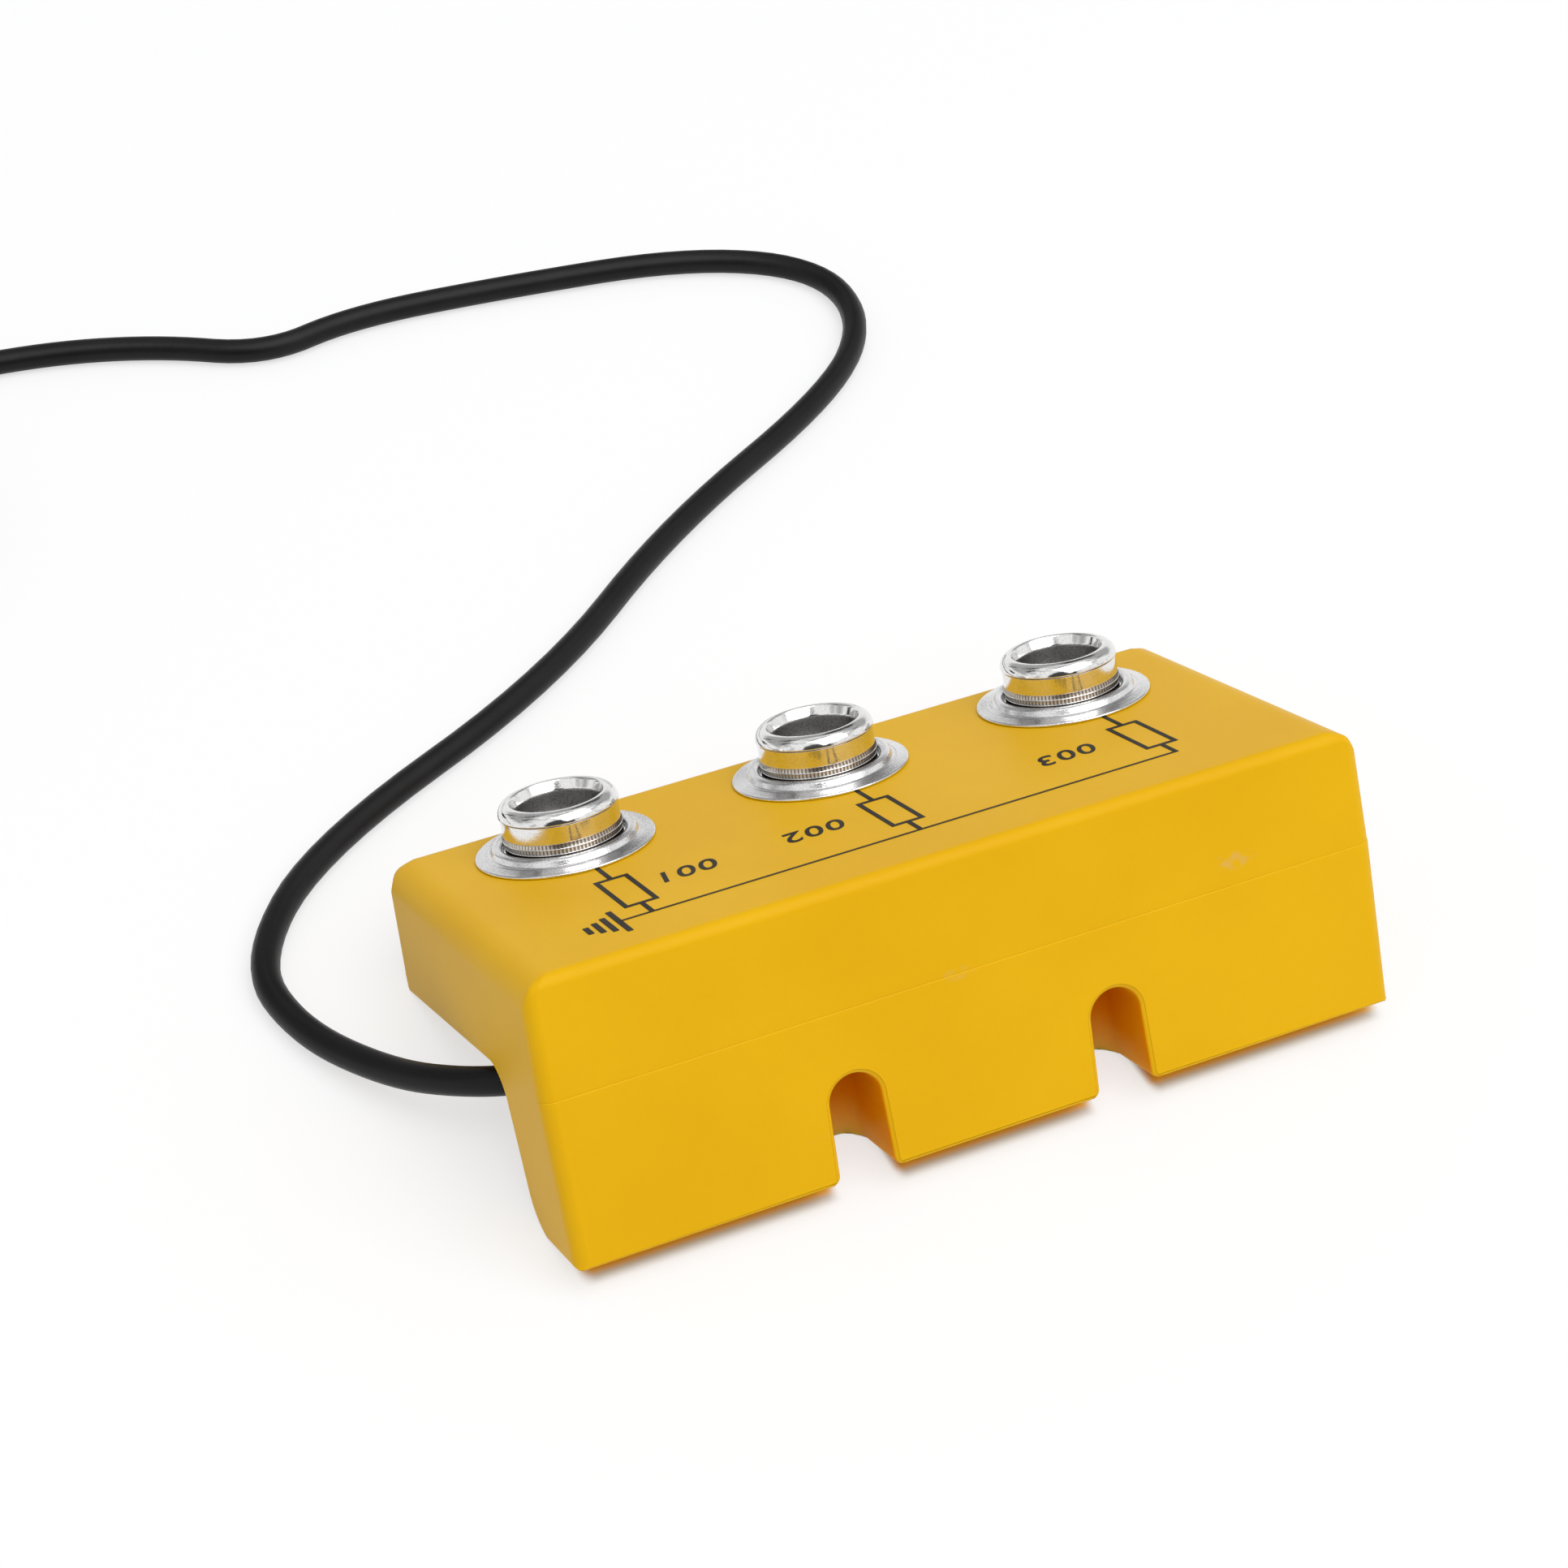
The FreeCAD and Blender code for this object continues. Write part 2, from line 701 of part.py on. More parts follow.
def coil_spot(turn):
    """Radius and height of the coil's line after so many turns: in and out, climbing where it reverses."""
    layer_turns = coil_turns_per_layer
    swing = turn % (2 * layer_turns)
    inward = swing if swing <= layer_turns else 2 * layer_turns - swing
    outer = coil_middle_radius + coil_pitch * layer_turns / 2
    height = 0.0
    for layer in range(1, coil_layers):
        climbed = (turn - layer * layer_turns) / coil_climb + 0.5
        height += coil_pitch * min(1.0, max(0.0, climbed))
    return outer - coil_pitch * inward, cord_radius + height


def coil_point(turn):
    radius, height = coil_spot(turn)
    angle = math.radians(coil_start_angle) + 2 * math.pi * turn
    x = coil_centre[0] + radius * math.cos(angle)
    y = coil_centre[1] + radius * math.sin(angle)
    return Vector(x, y, height)


def coil_heading(turn, total):
    """Direction of the line: the mean of the slopes just before and after, and level at both ends."""
    angle = math.radians(coil_start_angle) + 2 * math.pi * turn
    tangential = Vector(-math.sin(angle), math.cos(angle), 0)
    if turn <= 0 or turn >= total:
        return tangential
    before = coil_spot(turn - coil_step)
    after = coil_spot(turn + coil_step)
    radius, _ = coil_spot(turn)
    arc = 2 * math.pi * 2 * coil_step
    outward = Vector(math.cos(angle), math.sin(angle), 0)
    slope_out = (after[0] - before[0]) / arc
    slope_up = (after[1] - before[1]) / arc
    return (tangential * radius + outward * slope_out + Vector(0, 0, slope_up)).normalize()


def arc_edge(start, heading, end):
    """Arc from start, leaving along heading, to end."""
    chord = end - start
    half = heading.getAngle(chord)
    centre_of_chord = (start + end) * 0.5
    bulge = heading * chord.Length - chord * math.cos(half)
    bulge = bulge.normalize() * (chord.Length / 2 * math.tan(half / 2))
    return Part.Arc(start, centre_of_chord + bulge, end).toShape()


def biarc(start, leaving, end, arriving):
    """Two arcs that join two points along given directions."""
    across = end - start
    both = leaving + arriving
    spread = 2 * (1 - leaving.dot(arriving))
    along = across.dot(both)
    reach = (-along + math.sqrt(along ** 2 + spread * across.dot(across))) / spread
    meeting = (start + leaving * reach + end - arriving * reach) * 0.5
    heading = (end - arriving * reach - start - leaving * reach).normalize()
    return [arc_edge(start, leaving, meeting), arc_edge(meeting, heading, end)]


def coil():
    """The put-away length, wound in layers as one unbroken tube with a straight end at each side."""
    total = coil_layers * coil_turns_per_layer - coil_turns_left_out
    steps = round(total / coil_step)
    turns = [i * total / steps for i in range(steps + 1)]
    first_heading = coil_heading(0, total)
    last_heading = coil_heading(total, total)
    start = coil_point(0) - first_heading * coil_end_straight
    end = coil_point(total) + last_heading * coil_end_straight
    edges = [Part.makeLine(start, coil_point(0))]
    spots = [(coil_point(turn), coil_heading(turn, total)) for turn in turns]
    for here, there in zip(spots, spots[1:]):
        edges += biarc(*here, *there)
    edges.append(Part.makeLine(coil_point(total), end))
    path = Part.Wire(edges)
    tube = swept_round(path, start, first_heading, cord_radius)
    length = sum(edge.Length for edge in edges)
    section = math.pi * cord_radius ** 2
    print("cord_coil turns %.2f length %.1f volume %.2f section x length %.2f" % (
        total, length, tube.Volume, section * length))
    print("cord_coil start", start, "end", end, "least gap to itself %.3f" % least_gap(edges, total))
    return tube, length


def least_gap(edges, total):
    """Least clear distance between parts of the coil's line over half a turn apart, less the diameter."""
    spots = []
    for edge in edges:
        spots += edge.discretize(9)[:-1]
    apart = round(len(spots) / total / 2)
    least = 1e9
    for i, here in enumerate(spots):
        for there in spots[i + apart:]:
            least = min(least, here.distanceToPoint(there))
    return least - cord_diameter


def terminal():
    """Crimped ring terminal and its insulating sleeve, lying on the bench at the end of the lead."""
    cord_end = Vector(*tail_route[-1])
    heading = (cord_end - Vector(*tail_route[-2])).normalize()
    aside = Vector(-heading.y, heading.x, 0)
    sleeve_start = cord_end - heading * sleeve_over_cord
    sleeve = cylinder(sleeve_radius, sleeve_length, sleeve_start, heading)
    cord_bore_start = sleeve_start - heading * margin
    cord_bore = cylinder(cord_radius + barrel_clearance, sleeve_over_cord + margin, cord_bore_start, heading)
    barrel_bore = cylinder(barrel_radius + barrel_clearance, sleeve_length, cord_end, heading)
    sleeve = sleeve.cut(cord_bore).cut(barrel_bore)
    barrel = cylinder(barrel_radius, barrel_length, cord_end, heading)
    sleeve_end = sleeve_start + heading * sleeve_length
    hole = Vector(sleeve_end.x, sleeve_end.y, 0) + heading * ring_reach
    up = Vector(0, 0, 1)
    ring = cylinder(ring_radius, ring_sheet, hole, up)
    neck_start = Vector(cord_end.x, cord_end.y, 0) + heading * (barrel_length - neck_in_barrel)
    side = aside * (neck_root_width / 2)
    wide = aside * (ring_neck_width / 2)
    corners = [neck_start - side, hole - wide, hole + wide, neck_start + side]
    neck = Part.Face(Part.makePolygon(corners + corners[:1])).extrude(up * ring_sheet)
    metal = barrel.fuse(ring).fuse(neck)
    metal = metal.cut(cylinder(ring_hole_radius, ring_sheet + 2 * margin, hole - up * margin, up))
    sleeved = sleeve_end.distanceToPoint(cord_end)
    within = cylinder(barrel_radius, sleeved, cord_end, heading)
    outside = cylinder(sleeve_radius * 2, sleeved, cord_end, heading)
    metal = metal.cut(outside.cut(within))
    print("ring hole", hole, "heading", heading)
    return sleeve, metal.removeSplitter()


def lead():
    """Every node of the free lead, in the leaned frame."""
    run, run_length = free_tube("cord_run", cord_route)
    wound, wound_length = coil()
    tail, tail_length = free_tube("cord_tail", tail_route)
    sleeve, ring = terminal()
    print("lead length %.1f" % (run_length + wound_length + tail_length))
    return {
        "cord_run": run,
        "cord_coil": wound,
        "cord_tail": tail,
        "terminal_sleeve": sleeve,
        "ring_terminal": ring,
    }


nodes = stand(block())
nodes.update(lead())
for name, shape in nodes.items():
    print(name, "solids", len(shape.Solids), "volume %.2f" % shape.Volume, "valid", shape.isValid())
    shape.exportStep("parts/%s.step" % name)
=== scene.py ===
# %% [markdown]
# An earth bonding point lies on a bench: a yellow L-shaped block with three bright press studs, a
# printed diagram and a thin black earth lead. This file is a lesson in cells. Each makes one piece
# or one finish, and the text before it says what the real thing is and why it is made that way.

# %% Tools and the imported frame
import bpy
import bmesh
import json
import math
from mathutils import Euler, Matrix, Vector


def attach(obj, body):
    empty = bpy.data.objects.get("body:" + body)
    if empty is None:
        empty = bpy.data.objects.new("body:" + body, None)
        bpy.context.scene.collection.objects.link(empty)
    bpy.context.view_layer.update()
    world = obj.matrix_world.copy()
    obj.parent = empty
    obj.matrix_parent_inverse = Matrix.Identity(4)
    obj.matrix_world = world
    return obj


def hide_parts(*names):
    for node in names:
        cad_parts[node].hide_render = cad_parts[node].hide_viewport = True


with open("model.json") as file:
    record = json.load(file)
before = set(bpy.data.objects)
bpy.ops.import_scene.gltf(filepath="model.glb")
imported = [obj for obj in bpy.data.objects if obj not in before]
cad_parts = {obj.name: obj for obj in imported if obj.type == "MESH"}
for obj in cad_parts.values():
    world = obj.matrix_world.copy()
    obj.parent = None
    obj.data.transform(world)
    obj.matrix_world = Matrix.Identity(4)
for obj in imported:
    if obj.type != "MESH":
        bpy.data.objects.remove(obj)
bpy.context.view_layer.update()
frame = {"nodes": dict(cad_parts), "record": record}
record = frame["record"]
nodes = frame["nodes"]

# %% [markdown]
# The real block rests on its leg and on its back edge, so it leans back. It could be modelled in
# place, but then no face would lie along an axis. So it is modelled in its own frame, in
# millimetres: x along the block from its middle, y from the mounting face, z from the foot of the
# leg. One matrix then takes a finished mesh to the bench, in metres. It is read from the record's
# mount on the middle stud, so the block always lands where the frame has it.

# %% From the block's frame to the bench
MM = 0.001
STUD_ROW = 26.4              # the studs' distance from the mounting face
STUD_LAND = 26.75            # height of the middle of the bead's flat band above the leg's foot
middle_stud = next(m for m in record["mounts"] if m["name"] == "stud_middle")
lean = math.atan2(middle_stud["axis"][1], middle_stud["axis"][2])
turn = Matrix.Rotation(-lean, 4, "X")
land = Vector(middle_stud["pos_m"])
to_stud = Matrix.Translation((0, -STUD_ROW, -STUD_LAND))
BENCH = Matrix.Translation(land) @ turn @ Matrix.Scale(MM, 4) @ to_stud
print("lean in degrees", round(math.degrees(lean), 3))


def settle(piece, name):
    """Put a finished mesh in its place on the bench and let it ride with the block."""
    piece.name = name
    piece.data.name = name
    piece.data.transform(BENCH)
    piece.data.update()
    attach(piece, "root")
    print(name, "faces", len(piece.data.polygons))


# %% [markdown]
# The camera comes first, because everything is judged through it. It could be placed by eye, but a
# photo's camera can be worked out from edges and circles of known size: here from the studs' round
# flanges and the block's long edges. The lens is long, about 84 mm on a full frame, so the block
# shows little perspective.

# %% Camera
CAMERA_PLACE = (-0.10093, -0.19565, 0.21384)
CAMERA_TURN = (48.998, -0.385, -24.726)
LENS = 83.93
FULL_FRAME = 36.0

camera_data = bpy.data.cameras.new("camera")
camera_data.lens = LENS
camera_data.sensor_width = FULL_FRAME
camera = bpy.data.objects.new("camera", camera_data)
camera.location = CAMERA_PLACE
camera.rotation_euler = Euler([math.radians(a) for a in CAMERA_TURN], "XYZ")
bpy.context.scene.collection.objects.link(camera)
bpy.context.scene.camera = camera
print("camera", CAMERA_PLACE, "lens", LENS)

# %% [markdown]
# Every finish here is made of noise and masks, not of pictures. Shader maths could be written as a
# list of nodes and links, but that reads badly. So one small class wraps a socket and overloads
# the operators: a mask is then an expression, and its Math nodes are added on the way.

# %% Shader expressions


class Signal:
    """A value in a node tree, with arithmetic."""

    def __init__(self, tree, socket):
        self.tree = tree
        self.socket = socket

    def math(self, operation, *others):
        return self.tree.node("ShaderNodeMath", {"operation": operation}, {
            i: value for i, value in enumerate((self,) + others)})

    def __add__(self, other):
        return self.math("ADD", other)

    def __sub__(self, other):
        return self.math("SUBTRACT", other)

    def __rsub__(self, other):
        return self.tree.node("ShaderNodeMath", {"operation": "SUBTRACT"}, {0: other, 1: self})

    def __mul__(self, other):
        return self.math("MULTIPLY", other)

    __radd__ = __add__
    __rmul__ = __mul__

    def clamp(self):
        return self.tree.node("ShaderNodeClamp", {}, {0: self})

    def band(self, low, high):
        """0 below low, 1 above high, smooth between."""
        return self.tree.node("ShaderNodeMapRange", {"interpolation_type": "SMOOTHSTEP"}, {
            "Value": self, "From Min": low, "From Max": high, "To Min": 0.0, "To Max": 1.0})


# %% [markdown]
# A second class wraps the node tree. Each kind of node could have its own call, but one method
# makes them all from a type, its settings and the values of its sockets. The short methods after
# it name what the finishes use again and again: a place, an axis, noise, a blend and a bump.

# %% Node trees


class Tree:
    """A node tree that is written from inputs to outputs."""

    def __init__(self, tree):
        self.tree = tree
        tree.nodes.clear()

    def node(self, kind, settings, sockets, output=0):
        made = self.tree.nodes.new(kind)
        for key, value in settings.items():
            setattr(made, key, value)
        for key, value in sockets.items():
            if isinstance(value, Signal):
                self.tree.links.new(value.socket, made.inputs[key])
            else:
                made.inputs[key].default_value = value
        return Signal(self, made.outputs[output])

    def stretched(self, vector, scale):
        return self.node("ShaderNodeMapping", {}, {"Vector": vector, "Scale": scale})

    def place(self):
        """Object coordinates in millimetres."""
        here = self.node("ShaderNodeTexCoord", {}, {}, "Object")
        return self.stretched(here, (1 / MM, 1 / MM, 1 / MM))

    def axis(self, vector, name):
        return self.node("ShaderNodeSeparateXYZ", {}, {"Vector": vector}, name)

    def noise(self, at, scale, detail=2.0, roughness=0.5):
        return self.node("ShaderNodeTexNoise", {}, {
            "Vector": at, "Scale": scale, "Detail": detail, "Roughness": roughness})

    def mix(self, factor, first, second):
        """A blend of two colours, each a triple or a Signal."""
        pair = [c if isinstance(c, Signal) else (*c, 1) for c in (first, second)]
        return self.node("ShaderNodeMix", {"data_type": "RGBA"}, {
            "Factor": factor, 6: pair[0], 7: pair[1]}, 2)

    def bump(self, height, strength, distance):
        return self.node("ShaderNodeBump", {}, {
            "Height": height, "Strength": strength, "Distance": distance})

    def shader(self, kind, **sockets):
        """A shader whose sockets are named with underscores for spaces."""
        return self.node(kind, {}, {key.replace("_", " "): value for key, value in sockets.items()})

    def either(self, factor, first, second):
        """A blend of two shaders."""
        return self.node("ShaderNodeMixShader", {}, {0: factor, 1: first, 2: second})

    def surface(self, shader, kind="ShaderNodeOutputMaterial"):
        output = self.tree.nodes.new(kind)
        self.tree.links.new(shader.socket, output.inputs["Surface"])


# %% [markdown]
# A finish is a material with its own tree. It could be added to what a piece has already, but the
# frame's pieces come with a plain colour each, so that is cleared first.

# %% Materials
PRINCIPLED = "ShaderNodeBsdfPrincipled"


def material(name):
    made = bpy.data.materials.new(name)
    made.use_nodes = True
    print("material", name)
    return made, Tree(made.node_tree)


def dress(piece, *finishes):
    """Give a piece its finishes in order, in place of any that it has."""
    piece.data.materials.clear()
    for finish in finishes:
        piece.data.materials.append(finish)


# %% [markdown]
# The block is moulded in a soft, slightly see-through yellow plastic. Light goes a little way into
# it: that is subsurface scattering, set as plain numbers. In the slots of the leg the light has
# bounced several times and is deep orange. More bounces in the render would bring some of that,
# but painting that deep orange shade onto those faces as a finish of its own, with painted bounce
# light from the white bench paling it towards the bottom, is quicker and surer.
# The skin is satin, with a very fine grain and faint rub marks, which come from stretched noise.
# Two small scuffs on the front are placed where the real block has them.

# %% Yellow plastic
BENCH_BOUNCE_HEIGHTS = (0.0, 4.5)      # heights over which the painted bench bounce light on a slot's wall fades out
RUB_COLOUR = (0.78, 0.47, 0.12)
RUB_SHARE = 0.10             # of the rub marks' colour in the skin
SCUFF_SHARE = 0.6
SCUFF_LONG = 0.4             # a scuff's height over its length
SCUFFS = (                   # place on the bench and half height
    ((23.6, -14.3, 17.5), 1.0),
    ((-1.4, -15.2, 15.7), 0.7),
)


def plastic(name, dark, pale, shine, through, reach, foot=None):
    """Yellow plastic in two tones, with painted bench bounce light at its foot if given."""
    made, tree = material(name)
    at = tree.place()
    cloud = tree.noise(at, scale=0.05, detail=3.0)
    rub = tree.noise(tree.stretched(at, (0.35, 1.6, 1.6)), scale=0.5, detail=6.0, roughness=0.6)
    rubbed = rub.band(0.66, 0.80) * RUB_SHARE
    flat = tree.stretched(at, (SCUFF_LONG, 1, 1))
    scratched = tree.noise(at, scale=1.3, detail=4.0).band(0.40, 0.62) * SCUFF_SHARE
    for (x, y, z), size in SCUFFS:
        away = tree.node("ShaderNodeVectorMath", {"operation": "DISTANCE"}, {
            0: flat, 1: (x * SCUFF_LONG, y, z)}, "Value")
        rubbed = rubbed + (1 - away.band(size * 0.3, size)) * scratched
    grain = tree.noise(at, scale=6.0)
    tone = tree.mix(cloud.band(0.3, 0.7), dark, pale)
    if foot is not None:
        # towards the bench the tone pales into the foot tone, painted bounce light from the white
        # bench
        tone = tree.mix(tree.axis(at, "Z").band(*BENCH_BOUNCE_HEIGHTS), foot, tone)
    tree.surface(tree.shader(
        PRINCIPLED,
        Base_Color=tree.mix(rubbed, tone, RUB_COLOUR),
        Roughness=0.40 + rubbed * 0.6 + grain * 0.06,
        IOR=1.46,
        Specular_IOR_Level=shine,
        Subsurface_Weight=through,
        Subsurface_Radius=(1.0, 0.50, 0.05),
        Subsurface_Scale=reach,
        Normal=tree.bump(grain, strength=0.12, distance=0.00006),
    ))
    return made


YELLOW = plastic(
    "yellow_plastic", dark=(0.835, 0.460, 0.001), pale=(0.875, 0.495, 0.002),
    shine=0.15, through=0.15, reach=0.0006)
# Painted deep orange shade of light bounced inside the slots, paling near the bottom with painted
# bench bounce light.
SLOT_SHADE_YELLOW = plastic(
    "deep_yellow_plastic", dark=(0.80, 0.29, 0.0005), pale=(0.84, 0.32, 0.0005),
    shine=0.02, through=1.0, reach=0.0012, foot=(0.90, 0.52, 0.10))

# %% [markdown]
# The studs are drawn brass with bright nickel plate. Nickel is a little warmer and darker than
# chrome. Reflections could be painted on, but they would stay the same from every side. What makes
# plate look real is what it mirrors, so its own finish stays quiet: fine turning marks from the
# press tool, and a few duller patches. The bore and the teeth are duller and darker. The crevices
# at the post's foot and under its bead get a near-black painted shade, and one slope of each tooth
# gets a darker painted shade.

# %% Nickel plate
WORN = 0.6                   # share of its colour that worn plate keeps


def nickel(name, colour, dull, grain_depth, speckle):
    made, tree = material(name)
    at = tree.place()
    patches = tree.noise(at, scale=0.9, detail=4.0, roughness=0.6)
    scuffs = tree.noise(tree.stretched(at, (1.0, 6.0, 6.0)), scale=2.5, detail=4.0)
    grain = tree.noise(at, scale=7.0)
    worn = patches.band(0.45, 0.75)
    marks = (worn * 0.12 + grain.band(0.45, 0.65) * speckle).clamp()
    tree.surface(tree.shader(
        PRINCIPLED,
        Base_Color=tree.mix(marks, colour, [c * WORN for c in colour]),
        Metallic=1.0,
        Roughness=dull + worn * 0.07 + scuffs.band(0.6, 0.8) * 0.05,
        Normal=tree.bump(scuffs * 0.5 + grain, strength=0.2, distance=grain_depth),
    ))
    return made


BRIGHT_NICKEL = nickel("bright_nickel", (0.82, 0.815, 0.81), 0.08, 0.00002, 0.25)
FLANGE_NICKEL = nickel("flange_nickel", (0.76, 0.755, 0.76), 0.15, 0.00006, 0.3)
BORE_NICKEL = nickel("bore_nickel", (0.44, 0.435, 0.43), 0.34, 0.00008, 0.9)
TOOTH_NICKEL = nickel("tooth_nickel", (0.62, 0.58, 0.52), 0.24, 0.00004, 0.3)
# Painted shade for one slope of each tooth, a darker copy of the tooth finish.
NOTCH_SHADE_NICKEL = nickel("notch_nickel", (0.24, 0.19, 0.15), 0.30, 0.00004, 0.3)
# Near-black painted shade for the crevices at the post's foot and under its bead.
CREVICE_SHADE_NICKEL = nickel("crevice_nickel", (0.08, 0.07, 0.065), 0.40, 0.00004, 0.3)
RIVET_NICKEL = nickel("rivet_nickel", (0.50, 0.48, 0.46), 0.30, 0.00006, 0.4)

# %% [markdown]
# The small metal pieces inside the block and at the lead's far end are tinned or soldered. Plain
# grey would do while the block is closed, but the pieces are looked at one by one when it is taken
# apart. So each has drawn lines, in its own scale, and a slow stain.

# %% Small metals
STAINED = 0.7                # share of its colour that stained metal keeps


def metal(name, colour, rough, grain_scale, drawn=(1.0, 1.0, 1.0)):
    made, tree = material(name)
    at = tree.place()
    lines = tree.noise(tree.stretched(at, drawn), grain_scale, detail=5.0)
    stain = tree.noise(at, scale=0.4, detail=3.0).band(0.4, 0.8)
    tree.surface(tree.shader(
        PRINCIPLED,
        Base_Color=tree.mix(stain * 0.5, colour, [c * STAINED for c in colour]),
        Metallic=1.0,
        Roughness=rough + lines * 0.12,
        Normal=tree.bump(lines, strength=0.2, distance=0.00004),
    ))
    return made


TINNED_BRASS = metal("tinned_brass", (0.62, 0.59, 0.54), 0.28, 2.0)
TINNED_COPPER = metal("tinned_copper", (0.66, 0.63, 0.60), 0.24, 3.0)
SOLDER = metal("solder", (0.60, 0.60, 0.61), 0.20, 1.2)
TERMINAL_TIN = metal("terminal_tin", (0.50, 0.50, 0.505), 0.38, 2.2, (4.0, 0.6, 1.0))

# %% [markdown]
# The lead's jacket, the strain relief, the sleeve, the resistors' enamel and the printing ink are
# all plain skins that differ in tone, sheen and grain. Each could have its own node tree, but one
# recipe with five sets of values is shorter and keeps them alike.

# %% Plastics, rubber, enamel and ink


def dull_skin(name, dark, pale, rough, grain_scale, depth, shine=0.5):
    """Two near tones, a grain in the roughness and the same grain in the bump."""
    made, tree = material(name)
    at = tree.place()
    tone = tree.noise(at, scale=0.12, detail=4.0, roughness=0.6).band(0.35, 0.75)
    grain = tree.noise(at, grain_scale, detail=3.0)
    tree.surface(tree.shader(
        PRINCIPLED,
        Base_Color=tree.mix(tone, dark, pale),
        Roughness=rough + grain * 0.1,
        Specular_IOR_Level=shine,
        Normal=tree.bump(grain, strength=0.25, distance=depth),
    ))
    return made


BLACK_PVC = dull_skin(
    "black_pvc", (0.006, 0.006, 0.007), (0.010, 0.010, 0.0115), 0.34, 2.4, 0.00005, shine=0.2)
BLACK_RUBBER = dull_skin(
    "black_rubber", (0.012, 0.012, 0.012), (0.020, 0.020, 0.020), 0.55, 4.0, 0.00006)
BLACK_SLEEVE = dull_skin(
    "black_sleeve", (0.014, 0.014, 0.015), (0.022, 0.022, 0.024), 0.40, 3.0, 0.00004)
RESISTOR = dull_skin(
    "resistor_enamel", (0.50, 0.36, 0.18), (0.60, 0.45, 0.26), 0.30, 2.0, 0.00003)
INK = dull_skin(
    "printing_ink", (0.018, 0.013, 0.011), (0.036, 0.026, 0.020), 0.50, 5.0, 0.00001, shine=0.2)

# %% [markdown]
# New pieces are modelled as by hand: a primitive is added, faces and edges are picked by their
# place, and operators shape them. The meshes could be written point by point, but then no step
# could be followed. These helpers do the picking. Only what passes the test is selected, because
# setting a face to unselected would also drop the corners that it shares with a selected one.

# %% Picking by place
TINY = 0.01                  # mm: what lies nearer than this counts as the same place
LONG = 1.0                   # mm: an edge runs along an axis if it covers more than this of it
DOWNWARD = -0.9              # a face whose normal has less than this in z faces down
X, Y = 0, 1


def activate(piece):
    bpy.ops.object.select_all(action="DESELECT")
    piece.select_set(True)
    bpy.context.view_layer.objects.active = piece


def edit(piece):
    activate(piece)
    bpy.ops.object.mode_set(mode="EDIT")


def leave():
    bpy.ops.object.mode_set(mode="OBJECT")


def pick(piece, kind, test):
    bpy.ops.mesh.select_mode(type=kind)
    bpy.ops.mesh.select_all(action="DESELECT")
    mesh = bmesh.from_edit_mesh(piece.data)
    for part in {"FACE": mesh.faces, "EDGE": mesh.edges, "VERT": mesh.verts}[kind]:
        if test(part):
            part.select_set(True)
    mesh.select_flush_mode()
    bmesh.update_edit_mesh(piece.data)


def both(edge, test):
    return all(test(corner.co) for corner in edge.verts)


def near(value, target):
    return abs(value - target) < TINY


def runs_along(edge, axis):
    a, b = (corner.co[axis] for corner in edge.verts)
    return abs(a - b) > LONG


def faces_down(face):
    return face.normal.z < DOWNWARD


# %% [markdown]
# Boxes and rods are the stock that the pieces are cut and joined from. They could be sized later,
# but they are added at their size and place, and both are applied at once, so that every later
# measure is a true one. Each bevel, extrusion and boolean has a helper, because it is used many
# times.

# %% Stock and shaping
PAST = 1.0                   # mm: how far a cutter reaches past what it cuts
THROUGH = 8.0                # length of a rod that goes through any wall
ROD_SIDES = 64


def applied():
    """The active object, with its place, turn and size taken into its data."""
    bpy.ops.object.transform_apply(location=True, rotation=True, scale=True)
    return bpy.context.active_object


def box_from(low, high):
    """A box between two corners."""
    bpy.ops.object.select_all(action="DESELECT")
    centre = [(a + b) / 2 for a, b in zip(low, high)]
    size = [b - a for a, b in zip(low, high)]
    bpy.ops.mesh.primitive_cube_add(size=1, location=centre, scale=size)
    return applied()


def rod(radius, length, centre, turn_by=(0, 0, 0)):
    bpy.ops.object.select_all(action="DESELECT")
    bpy.ops.mesh.primitive_cylinder_add(
        vertices=ROD_SIDES, radius=radius, depth=length, location=centre, rotation=turn_by)
    return applied()


def apply_modifier(piece, kind, **settings):
    activate(piece)
    modifier = piece.modifiers.new(kind.lower(), kind)
    for key, value in settings.items():
        setattr(modifier, key, value)
    bpy.ops.object.modifier_apply(modifier=modifier.name)


def combine(piece, tool, operation):
    """Cut or join with another closed mesh, which is used up."""
    apply_modifier(piece, "BOOLEAN", object=tool, operation=operation, solver="MANIFOLD")
    bpy.data.objects.remove(tool)


def smooth(piece, angle):
    """Smooth shading up to an angle. Large faces stay flat, and only the roundings bend."""
    activate(piece)
    bpy.ops.object.shade_smooth_by_angle(angle=math.radians(angle))
    apply_modifier(piece, "WEIGHTED_NORMAL", keep_sharp=True)


def stretch(value, centre):
    """Scale what is selected about a point."""
    bpy.ops.transform.resize(value=value, center_override=centre)


def pull(*move):
    """Extrude the selected faces and move what is new."""
    bpy.ops.mesh.extrude_region_move(TRANSFORM_OT_translate={"value": move})


def round_edges(offset, segments):
    bpy.ops.mesh.bevel(offset=offset, segments=segments, affect="EDGES")


# %% [markdown]
# The real block is an L moulded in two shells that meet at a fine seam. The shells could be made
# apart, but their outsides would hardly meet so well. So the whole outside is made first, then
# parted at the seam as a mould parts it. The L starts as the slab, and the leg is extruded down
# from the front strip of its underside. The seam is the widest line: above and below it the ends
# draw in a little, so that the moulding leaves its tool.

